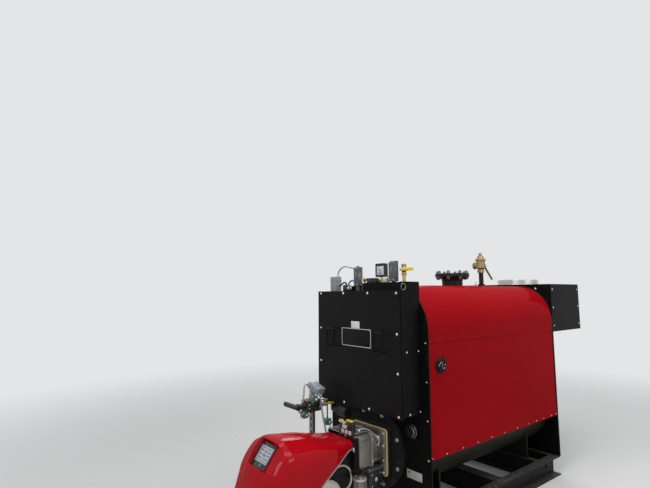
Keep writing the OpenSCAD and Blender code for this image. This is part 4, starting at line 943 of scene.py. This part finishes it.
hood = bmesh.new()
STATIONS = sorted({0, 0.007, 0.014, 0.021, 0.031, 0.042, 0.052, 0.062, 0.447, 0.593, 0.78, 0.913, 1}
                  | {round(0.07 + 0.0155 * k, 4) for k in range(60)})
hood_rings = []
for s in STATIONS:
    wide = HOOD_HALF * softened(s, PLAN_LINE)
    low = hood_low(s)
    high = HOOD_FOOT + HOOD_HIGH * softened(s, TOP_LINE) - low
    power = looked_up(s, ROUND_LINE)
    ring = []
    for i in range(2 * len(HALF_SECTION) - 1):
        past = i - (len(HALF_SECTION) - 1)
        x, z = HALF_SECTION[i if past <= 0 else len(HALF_SECTION) - 1 - past]
        ring.append(hood.verts.new(at((1 if past <= 0 else -1) * wide * x, hood_y(s),
            low + high * z ** power)))
    hood_rings.append(ring)
for near, far in zip(hood_rings, hood_rings[1:]):
    for i in range(len(near)):
        n = (i + 1) % len(near)
        hood.faces.new((near[i], far[i], far[n], near[n]))
hood.faces.new(hood_rings[0])
hood.faces.new(hood_rings[-1][::-1])
hood_red = painted("hood_red", (0.4, 0.0018, 0.007), (0.3, 0.0014, 0.005), (0.62, 0.03, 0.03), tone=3,
    rough=(0.14, 0.22), peel=200, dust=0.03, smudge=0.02, dust_color=(0.5, 0.12, 0.12), radius=0.003,
    wear=0.2, bump=0.06, depth=0.0005, specular=0, coat=0.28, coat_roughness=0.03)
hood_piece = made_piece("burner_hood_shell", hood, hood_red, sharp=28)
DISPLAY_AT = at(15, -902.4, 588.2)
DISPLAY_TILT = Matrix.Rotation(radians(52), 3, "X")
DISPLAY = Matrix.Translation(DISPLAY_AT) @ DISPLAY_TILT.to_4x4()


def on_display(x, up, out):
    """A place on the display: millimetres across, up its slope and out of its face."""
    return DISPLAY @ (Vector((x, up, out)) / 1000)


recess = bmesh.new()
block(recess, (-74, -71.5, -24.3), (74, 71.5, 8), 5, lean=DISPLAY)
# Two wedges open the recess: the wide one above the display, walled in painted-shade red, and one beside it
# in the hood's red
for foot, top, sink, rise, drop, tint in (
        ((-74, -71.5, 74, 71.5), (-192, -71.5, 74, 186), -0.5, 120, 0, 0),
        ((60, -71.5, 142, 71.5), (60, -107, 149, 107), -4, 60, 9, 1)):
    ends = [[recess.verts.new(on_display(x, up, out - (drop if x > 100 else 0)))
             for x, up in ((x0, y0), (x1, y0), (x1, y1), (x0, y1))]
            for (x0, y0, x1, y1), out in ((foot, sink), (top, rise))]
    facets = [recess.faces.new(ends[0][::-1]), recess.faces.new(ends[1])]
    for k in range(4):
        n = (k + 1) % 4
        facets.append(recess.faces.new((ends[0][k], ends[0][n], ends[1][n], ends[1][k])))
    for facet in facets:
        facet.material_index = tint
recess_mesh = bpy.data.meshes.new("hood_recess_cutter")
bmesh.ops.recalc_face_normals(recess, faces=recess.faces)
recess.to_mesh(recess_mesh)
recess.free()
# The recess walls take a darker, duller red than the hood: painted shade where the recess keeps out light
recess_painted_shade = painted("recess_painted_shade", (0.22, 0.0014, 0.005), (0.16, 0.001, 0.004), (0.3, 0.01, 0.01), tone=6,
    rough=(0.3, 0.42), peel=200, dust=0.05, smudge=0.05, dust_color=(0.3, 0.08, 0.08), radius=0.002,
    wear=0.1, bump=0.06, depth=0.0005, specular=0, coat=0.05)
recess_mesh.materials.append(recess_painted_shade)
recess_mesh.materials.append(hood_red)
recess_cutter = linked("hood_recess_cutter", recess_mesh)
for kind, name, values in (
        ("BOOLEAN", "recess", {"operation": "DIFFERENCE", "object": recess_cutter, "solver": "EXACT",
                                 "use_self": True, "material_mode": "TRANSFER"}),
        ("WELD", "join", {"merge_threshold": 0.0002}),
        ("BEVEL", "soft_edges", {"width": 0.0032, "segments": 3, "limit_method": "ANGLE",
                                 "angle_limit": radians(38), "harden_normals": False})):
    step = hood_piece.modifiers.new(name, kind)
    for key, value in values.items():
        setattr(step, key, value)
bpy.context.view_layer.update()
shaped = bpy.data.meshes.new_from_object(hood_piece.evaluated_get(bpy.context.evaluated_depsgraph_get()))
hood_piece.modifiers.clear()
hood_piece.data = shaped
shaped.name = "burner_hood_shell"
shaped.polygons.foreach_set("use_smooth", [True] * len(shaped.polygons))
shaped.set_sharp_from_angle(angle=radians(42))
bpy.data.objects.remove(recess_cutter)
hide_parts("burner_hood")

lip = bmesh.new()
for side in (-1, 1):
    edge = [(side * (HOOD_HALF * softened(s, PLAN_LINE) - 1.5), hood_y(s), hood_low(s) + 1.5)
            for s in (0.06, 0.2, 0.35, 0.43, 0.447, 0.47, 0.53, 0.58, 0.6, 0.66, 0.75, 0.84, 0.9, 0.93, 0.98)]
    wide = HOOD_HALF * softened(0.99, PLAN_LINE)
    edge += [(side * wide, hood_y(0.995), hood_low(1) + 4), (side * (wide - 2), hood_y(0.997), 568),
             (side * (wide - 22), hood_y(0.997), 579)]
    tube(lip, edge, 4.2, 8, 3)
lip_skin = painted("hood_lip", (0.27, 0.27, 0.27), (0.19, 0.19, 0.19), (0.45, 0.45, 0.44), tone=20,
    rough=(0.45, 0.6), peel=900, dust=0.2, radius=0.001, wear=0.3, bump=0.15, depth=0.0003)
made_piece("hood_lip", lip, lip_skin)

# Display: a dark bezel in the recess with a grey liquid-crystal face under glass and one round
# button below it. The face shows plain grey bands only.
bezel_skin = painted("display_black", (0.012, 0.0125, 0.014), (0.009, 0.0095, 0.0105), (0.05, 0.05, 0.055),
    tone=20, rough=(0.16, 0.26), peel=700, dust=0.08, smudge=0.3, wear=0.3, bump=0.06,
    depth=0.0003, coat=0.3)
dress(bezel_skin, "burner_display")
bezel = bmesh.new()
block(bezel, (-73, -70.5, -24), (73, 70.5, -1.4), 4, lean=DISPLAY)
for x0, y0, x1, y1 in ((-73, -70.5, 73, -64), (-73, 60, 73, 70.5), (-73, -66, -66, 62), (62, -66, 73, 62)):
    block(bezel, (x0, y0, -6), (x1, y1, -1.0), 0.4, lean=DISPLAY)
bezel_piece = made_piece("display_bezel", bezel, bezel_skin)
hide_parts("burner_display")
screen = bmesh.new()
block(screen, (-62, -39, -2), (59, 52, -0.7), 0.4, lean=DISPLAY)
screen_skin = painted("display_glass", (0.42, 0.45, 0.5), (0.3, 0.33, 0.38), (0.3, 0.3, 0.33), tone=45,
    rough=(0.08, 0.14), peel=100, dust=0, smudge=0.1, radius=0.0004, wear=0.1, bump=0.02, coat=0.8)
made_piece("display_face", screen, screen_skin)
bands = bmesh.new()
for x0, y0, x1, y1 in ((-54, 38, -8, 45), (4, 38, 54, 45), (-52, 20, -20, 32), (-10, 17, 14, 32),
                       (24, 20, 52, 30), (-52, 0, -28, 11), (-16, -4, 18, 10), (28, 0, 52, 11),
                       (-54, -18, -12, -11), (0, -18, 54, -11), (-54, -31, 54, -27)):
    block(bands, (x0, y0, -0.9), (x1, y1, -0.4), 0.2, lean=DISPLAY)
band_skin = painted("display_bands", (0.17, 0.19, 0.23), (0.12, 0.135, 0.17), (0.2, 0.2, 0.2), tone=60,
    rough=(0.1, 0.16), peel=100, dust=0, smudge=0.1, radius=0.0003, wear=0.1, bump=0.02, coat=0.8)
made_piece("display_bands", bands, band_skin)
button = bmesh.new()
turned(button, on_display(12, -52, -1.6), DISPLAY_TILT @ Vector((0, 0, 1)),
    [(9, 0), (9, 1.6), (7.6, 2.6), (3, 2.9)], 24)
made_piece("display_button", button, window_skin)

# Panel box: a light grey moulded box under the hood's front with two green lamps and a red reset
# on its front end and blank labels on its sides.
panel_skin = painted("panel_grey", (0.46, 0.46, 0.44), (0.38, 0.38, 0.36), (0.6, 0.6, 0.58), tone=8,
    rough=(0.4, 0.55), peel=900, smudge=0.4, radius=0.003, bump=0.2, depth=0.0003)
dress(panel_skin, "burner_panel")
panel_parts = bmesh.new()
for x in (-132, 132):
    for z in (254, 318):
        pan_screw(panel_parts, at(x, -985, z), FRONT, 3.2)
made_piece("panel_screws", panel_parts, zinc_screw)
lamps = bmesh.new()
for x in (-60, -18):
    turned(lamps, at(x, -985, 290), FRONT, [(11, -0.5), (11, 3), (8.5, 7), (4, 9), (1, 9.4)], 20)
lamp_green = painted("lamp_green", (0.03, 0.42, 0.12), (0.02, 0.3, 0.08), (0.1, 0.5, 0.2), tone=60,
    rough=(0.12, 0.2), peel=500, dust=0.1, smudge=0.2, radius=0.001, wear=0.2, bump=0.05, coat=0.4)
made_piece("panel_lamps", lamps, lamp_green)
reset = bmesh.new()
turned(reset, at(34, -985, 290), FRONT, [(10, -0.5), (10, 5), (8, 6.5), (3, 7)], 20)
block(reset, (76, -988, 278), (108, -984.6, 300), 1.2)
made_piece("panel_reset", reset, hood_red)
panel_labels = bmesh.new()
for side in (-1, 1):
    block(panel_labels, (side * 149.6, -930, 268), (side * 150.5, -836, 312), 0.3)
made_piece("panel_labels", panel_labels, label_skin)

# Fan: a black sheet-steel scroll housing with a pressed silver inlet cover on its side, held by
# bright screws round its rim and one large one in the middle.
cover_skin = metal("cover_silver", (0.6, 0.58, 0.55), (0.45, 0.43, 0.41), (0.78, 0.77, 0.74), stain=0.4,
    grain=110, rough=(0.26, 0.44), stain_color=(0.2, 0.16, 0.12), radius=0.003, wear=0.5, bump=0.3,
    depth=0.0005, metallic=1)
dress(cover_skin, "inlet_cover")
cover_screws = bmesh.new()
COVER_Y, COVER_Z = -542, 288
for a in [radians(turn) for turn in (20, 65, 115, 160)]:
    pan_screw(cover_screws, at(137, COVER_Y + 106 * cos(a), COVER_Z + 106 * sin(a)), RIGHT, 4.2)
for y in (-640, -444):
    pan_screw(cover_screws, at(137, y, 176), RIGHT, 4.2)
turned(cover_screws, at(150, COVER_Y, COVER_Z), RIGHT,
       [(26, -0.5), (26, 2.5), (23, 4), (9, 4.6), (8, 9), (3, 10)], 28)
made_piece("cover_screws", cover_screws, zinc_screw)

# Chassis: painted steel side plates between the fan and the casting, folded at their edges and
# screwed on. A round rim runs along both edges of the fan's scroll.
chassis = bmesh.new()
FAN_Y, FAN_Z = -545, 283
profile = [(-759.7, 250), (-699.4, 250), (-699.4, 329.7)]
turns = [radians(a) for a in range(158, 21, -8)]
profile += [(FAN_Y + 128.4 * cos(a), FAN_Z + 128.4 * sin(a)) for a in turns]
profile += [(-424.7, 331), (-424.7, 397), (-310.3, 397), (-310.3, 538.2), (-322, 538.2), (-382.7, 534.9),
            (-475.6, 488.4), (-606.1, 411.8), (-708, 329.7), (-759.7, 329.7)]
chassis_sides = [[chassis.verts.new(at(x, y, z)) for y, z in profile] for x in (-110, 110)]
skinned(chassis, chassis_sides)
for side in (-1, 1):
    for y0, z0, y1, z1 in ((-424.7, 397, -310.3, 412), (-325, 397, -310.3, 538), (-759.7, 250, -699.4, 262)):
        block(chassis, (side * 109, y0, z0), (side * 111.5, y1, z1), 0.8)
    for y, z in ((-410, 430), (-330, 430), (-330, 500), (-410, 500), (-740, 290), (-715, 290)):
        pan_screw(chassis, at(side * 110.2, y, z), (side, 0, 0), 4.0)
chassis_piece = made_piece("chassis_plates", chassis, skid_paint)
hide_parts("burner_chassis")
scroll_rim = bmesh.new()
turns = [radians(a) for a in range(0, 181, 10)]
for x in (-112, 102):
    ring = [(x, FAN_Y + 129.5 * cos(a), FAN_Z + 129.5 * sin(a)) for a in turns]
    ring = [(x, -415.5, 128), (x, -415.5, 200), *ring, (x, -674.5, 200), (x, -674.5, 128)]
    tube(scroll_rim, ring, 4.5, 8, 2)
made_piece("scroll_rim", scroll_rim, skid_paint)

# Air tube: a smooth grey hose that curves down from the chassis to the dampers, pushed into a
# sleeve at each end.
strap_skin = metal("conduit_grey", (0.5, 0.505, 0.49), (0.38, 0.385, 0.375), (0.65, 0.65, 0.62), stain=0.4,
    grain=420, rough=(0.38, 0.55), radius=0.001, bump=0.3, metallic=0.3)
dress(strap_skin, "air_tube")
air_hose = bmesh.new()
tube(air_hose, [(108, -470, 440), (118, -462, 446), (121, -443, 451), (121, -412, 451), (120, -384, 442),
    (120, -356, 421), (120, -341, 398), (119, -335, 362), (116, -341, 328), (108, -358, 303),
    (92, -386, 288), (78, -412, 284)], 6, 12, 5)
for place, axis in ((at(109, -470, 439.6), (1, 0.2, 0)), (at(78, -417, 283), (0.3, 1, 0.1))):
    turned(air_hose, place, axis, [(9.5, -1), (9.5, 7), (8.4, 8.5), (6.2, 9)], 18)
air_hose_piece = made_piece("air_hose", air_hose, strap_skin)
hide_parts("air_tube")

# Damper actuators: a moulded black box under a hammered grey lid with bright screws, and beside it
# a round metal pot with a silver rim.
damper_skin = painted("dark_plastic", (0.022, 0.023, 0.024), (0.014, 0.0145, 0.015), (0.07, 0.07, 0.07),
    tone=14, rough=(0.36, 0.55), peel=900, dust=0.5, wear=0.5, bump=0.25, specular=0.45)
dress(damper_skin, "damper_actuators")
dampers = bmesh.new()
block(dampers, (45, -200, 255), (140, -80, 368), 4, 3)
block(dampers, (138, -186, 268), (142.5, -94, 352), 2)
turned(dampers, at(96, -244, 336), UP, [(9, 0), (9, 62)], 16)
dampers_piece = made_piece("damper_box", dampers, damper_skin)
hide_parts("damper_actuators")
damper_lid = bmesh.new()
block(damper_lid, (38, -207, 366), (147, -73, 380), 3, 3)
block(damper_lid, (52, -194, 379), (120, -96, 384), 2)
made_piece("damper_lid", damper_lid, hammered)
POT_X, POT_Y = 120, -264
pot = bmesh.new()
turned(pot, at(POT_X, POT_Y, 262), UP,
       [(34, 0), (38, 4), (38, 52), (36.5, 53), (36.5, 57), (38, 58), (38, 74)], 48)
for a in angles(3, 0.3):
    turned(pot, at(POT_X + 39 * cos(a), POT_Y + 39 * sin(a), 270), UP,
           [(4, 0), (4, 62), (2, 63)], 10)
pot_skin = metal("pot_steel", (0.3, 0.26, 0.21), (0.18, 0.155, 0.12), (0.5, 0.46, 0.4), stain=0.5, grain=160,
    rough=(0.32, 0.5), radius=0.0012, wear=0.5, bump=0.2, metallic=0.7)
made_piece("pot_body", pot, pot_skin)
pot_rim = bmesh.new()
turned(pot_rim, at(POT_X, POT_Y, 333), UP,
       [(42, 0), (43.4, 2), (43.4, 9), (42, 11), (38.6, 12), (37.6, 9), (9, 8.5), (8, 20), (4, 21)], 48)
for a in angles(6):
    pan_screw(pot_rim, at(POT_X + 30 * cos(a), POT_Y + 30 * sin(a), 341.6), UP, 2.8)
rim_skin = metal("rim_silver", (0.62, 0.6, 0.56), (0.46, 0.44, 0.41), (0.75, 0.73, 0.7), stain=0.35,
    grain=200, rough=(0.3, 0.5), radius=0.001, bump=0.15, depth=0.0003, metallic=0.35)
made_piece("pot_rim", pot_rim, rim_skin)
damper_parts = bmesh.new()
for y in (-178, -102):
    for z in (276, 344):
        pan_screw(damper_parts, at(142.5, y, z), RIGHT, 3.0)
for x in (48, 137):
    for y in (-198, -82):
        pan_screw(damper_parts, at(x, y, 380), UP, 3.0)
turned(damper_parts, at(142.5, -140, 312), RIGHT, [(15, -1), (15, 4), (11, 6), (5, 7),
    (5, 11), (2, 12)], 20)
made_piece("damper_screws", damper_parts, zinc_screw)

# Leg clamps: three bands of round grey bar about the burner's support leg, each drawn tight by one
# screw in front.
leg_clamps = bmesh.new()
for z in (60, 150, 225):
    tube(leg_clamps, [(-24, -752, z), (-24, -706, z), (24, -706, z), (24, -752, z),
        (-24, -752, z)], 2.4, 8, 4)
    turned(leg_clamps, at(0, -752, z), FRONT, [(6, -1), (6, 4), (4, 6)], 14)
made_piece("leg_clamps", leg_clamps, strap_skin)

# Gas pipe and valve: black-painted steel pipe, screwed together, with a grey cast valve body
# bolted in between two flanges.
pipe_skin = painted("black_pipe", (0.016, 0.0155, 0.015), (0.01, 0.0098, 0.0095), (0.12, 0.08, 0.05),
    tone=12, rough=(0.38, 0.6), peel=300, dust=0.45, wear=0.5, bump=0.3, depth=0.0005)
dress(pipe_skin, "gas_pipe")
valve_alloy = finish("valve_grey", cast_skin, {"Color": (0.075, 0.075, 0.072), "Dull": (0.045, 0.045, 0.043),
    "Grime Amount": 1.1, "Pit Scale": 320.0}, (0.3, 0.3, 0.29), radius=0.002, wear=0.5, bump=0.4,
    depth=0.0005, metallic=0.3, specular=0.2)
dress(valve_alloy, "gas_valve")

# Valve actuator: a moulded grey case with ribs, leaning outward on the valve's bonnet, under a
# pale slotted top plate.
servo_skin = painted("actuator_grey", (0.3, 0.32, 0.345), (0.24, 0.26, 0.28), (0.65, 0.66, 0.66), tone=14,
    rough=(0.32, 0.48), peel=1100, dust=0.35, radius=0.002, bump=0.2, depth=0.0003)
dress(servo_skin, "valve_actuator")
LEAN = Matrix.Translation(at(-298.5, -284, 849.5)) @ Matrix.Rotation(radians(18), 4, "Y")
servo = bmesh.new()
block(servo, (-57, -33, -45), (57, 33, -5), 4, lean=LEAN)
block(servo, (-59, -35, -8), (59, 35, -1), 2, lean=LEAN)
for z in (-40, -30, -20):
    block(servo, (-50, -35.5, z), (50, -31, z + 5), 1.2, lean=LEAN)
    block(servo, (55, -26, z), (59, 26, z + 5), 1.2, lean=LEAN)
turned(servo, at(-330, -304, 770), UP, [(22, 0), (22, 14), (19, 17), (19, 46)], 28)
servo_piece = made_piece("actuator_case", servo, servo_skin)
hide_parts("valve_actuator")
servo_top = bmesh.new()
block(servo_top, (-57, -33, -1.5), (57, 33, 1.2), lean=LEAN)
for y in (-24, -8, 8, 24):
    block(servo_top, (-50, y - 3.5, 1), (50, y + 3.5, 3.4), 1.2, lean=LEAN)
servo_top_skin = painted("actuator_plate", (0.35, 0.42, 0.48), (0.28, 0.34, 0.39), (0.6, 0.64, 0.66),
    tone=18, rough=(0.25, 0.4), peel=800, dust=0.35, smudge=0.6, radius=0.001, bump=0.15,
    depth=0.0003, metallic=0.2)
made_piece("actuator_plate", servo_top, servo_top_skin)

# Gas cock: a nickel-plated brass ball cock screwed into the pipe beside the valve. A nut holds its
# lever.
nickel_skin = metal("nickel", (0.74, 0.73, 0.7), (0.55, 0.54, 0.51), (0.85, 0.84, 0.8), stain=0.3, grain=200,
    rough=(0.18, 0.34), bump=0.15, metallic=1)
dress(nickel_skin, "gas_cock")

# Pressure switches: three teal plastic boxes with a red dial in front and a bright connector at
# the side, on short necks from the valve and the pipe.
teal_skin = painted("teal_plastic", (0.055, 0.2, 0.16), (0.035, 0.145, 0.115), (0.2, 0.4, 0.34), tone=22,
    rough=(0.25, 0.4), peel=900, dust=0.35, bump=0.15, depth=0.0003)
dress(teal_skin, "pressure_switches")
PIPE_X = -330
SWITCHES = ((-268, -336, 768, 0), (PIPE_X, -372, 655, 10), (PIPE_X, -166, 574, 0))
switches = bmesh.new()
for x, y, z, aside in SWITCHES:
    block(switches, (x - 22, y - 21, z - 22), (x + 22, y + 22, z + 22), 4, 3)
    turned(switches, at(x + aside * 0.5, y - 20, z), FRONT, [(18, 0), (18, 5), (16, 7.5), (11, 8)], 28)
    for dz in (-12, 12):
        block(switches, (x - 23.5, y - 14, z + dz - 3), (x + 23.5, y + 16, z + dz + 3), 1.2)
for y, z, reach in ((-372, 675, 18), (-166, 594, 103)):
    turned(switches, at(PIPE_X, y, z), UP, [(7, 0), (7, 8), (5, 9), (5, reach)], 14)
block(switches, (-293, -348, 730), (-262, -326, 750), 2)
switches_piece = made_piece("gas_switches", switches, teal_skin)
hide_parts("pressure_switches")
dots = bmesh.new()
for x, y, z, aside in SWITCHES:
    turned(dots, at(x + aside, y - 28, z), FRONT, [(9, -0.5), (9, 2.2), (6.5, 3.8), (2, 4.2)], 20)
dot_red = painted("dot_red", (0.85, 0.02, 0.02), (0.7, 0.015, 0.015), (0.7, 0.2, 0.18), tone=40,
    rough=(0.2, 0.3), peel=500, dust=0.1, smudge=0.2, radius=0.001, wear=0.2, bump=0.05)
made_piece("switch_dots", dots, dot_red)
switch_ends = bmesh.new()
for x, y, z, aside in SWITCHES:
    turned(switch_ends, at(x + 22, y, z), RIGHT, [(10, -0.5), (10, 8), (13, 9), (13, 17),
        (7, 19), (7, 24)], 18)
    for dx in (-15, 15):
        for dz in (-15, 15):
            pan_screw(switch_ends, at(x + dx, y - 22, z + dz), FRONT, 2.2)
made_piece("switch_connectors", switch_ends, bright_metal)

# Strut post: a galvanised steel channel with a row of slots that stands on the floor and carries
# the gas train.
strut_skin = metal("zinc", (0.3, 0.305, 0.31), (0.21, 0.215, 0.22), (0.65, 0.66, 0.66), stain=0.35, grain=45,
    rough=(0.35, 0.55), stain_color=(0.12, 0.115, 0.1), radius=0.001, wear=0.5, bump=0.2, metallic=0.85)
dress(strut_skin, "strut_post")
strut = bmesh.new()
STRUT_TOP = 673.6
for x0, x1 in ((-350.5, -337), (-323, -309.5)):
    block(strut, (x0, -314, 0), (x1, -311.5, STRUT_TOP), 0.6, 1)
for k in range(15):
    top = STRUT_TOP if k == 14 else 30 + 48 * k
    block(strut, (-338, -314, 10 + 48 * k), (-322, -311.5, top), 0.6, 1)
for x0, x1, x2 in ((-350.5, -348, -342), (-312, -309.5, -318)):
    block(strut, (x0, -314, 0), (x1, -291, STRUT_TOP), 0.6, 1)
    block(strut, (x0 if x2 > x1 else x1, -293.5, 0), (x2, -291, STRUT_TOP), 0.6, 1)
strut_piece = made_piece("slotted_post", strut, strut_skin)
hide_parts("strut_post")

# Flexible conduits: smooth grey hoses between the controls, screwed into a gland at each end, and
# one thin black lead from the lowest pressure switch.
dress(strap_skin, "flexible_conduits")
conduits = bmesh.new()
tube(conduits, [(-275, -98, 1623.4), (-275, -98, 1643), (-262, -97, 1669), (-230, -95, 1691),
    (-190, -93, 1697), (-150, -91, 1689), (-113, -90, 1680), (-85.3, -90, 1680)], 6, 12, 5)
tube(conduits, [(-352, -314, 846), (-349, -338, 854), (-345, -355, 850), (-345, -364, 830),
    (-345, -366, 795), (-345, -375, 736), (-346, -390, 704), (-347, -402, 686), (-344, -403, 672),
    (-336, -396, 662)], 6, 12, 5)
tube(conduits, [(-252, -300, 800), (-250, -293, 782), (-250, -285, 740), (-250, -272, 659),
    (-250, -253, 576), (-248, -242, 519), (-232, -252, 474), (-190, -298, 450), (-140, -338, 458),
    (-110.4, -345, 466)], 6, 12, 5)
for place, axis in ((at(-275, -98, 1623.4), UP), (at(-85.3, -90, 1680), (-1, 0, 0)),
                    (at(-352, -316, 846), FRONT), (at(-252, -300, 797), (0.1, 0.2, -1)),
                    (at(-110.3, -345, 466), (-1, 0.2, -0.2))):
    turned(conduits, place, axis, [(9.4, -1), (9.4, 9), (8.2, 11), (6.3, 12)], 16)
conduits_piece = made_piece("conduits", conduits, strap_skin)
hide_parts("flexible_conduits")
switch_lead = bmesh.new()
tube(switch_lead, [(-306, -166, 566), (-298, -166, 556), (-299, -164, 533), (-298, -158, 497),
    (-270, -182, 464), (-200, -262, 446), (-140, -330, 440), (-110.4, -352, 442)], 3.2, 8, 5)
made_piece("switch_lead", switch_lead, black_plastic)

# Gas train's small parts: zinc-plated hexagon bolts through the valve's flanges, the cock's nut,
# and the yellow plastic grip pushed onto its lever.
gas_parts = bmesh.new()
turned(gas_parts, at(-287.5, -212, 712), RIGHT, [(5.0, 0), (5.0, 5), (3, 6)], 6)
for z in (700, 724):
    for y in (-355, -263):
        for side in (1, -1):
            hex_head(gas_parts, at(PIPE_X + side * 40, y, z), (side, 0, 0), 5.5, 6)
made_piece("gas_train_screws", gas_parts, zinc_screw)
gas_grip = bmesh.new()
block(gas_grip, (-298, -188, 702), (-285.5, -131, 722), 4, 3)
made_piece("gas_lever_grip", gas_grip, yellow_grip, "gas_lever_arm")
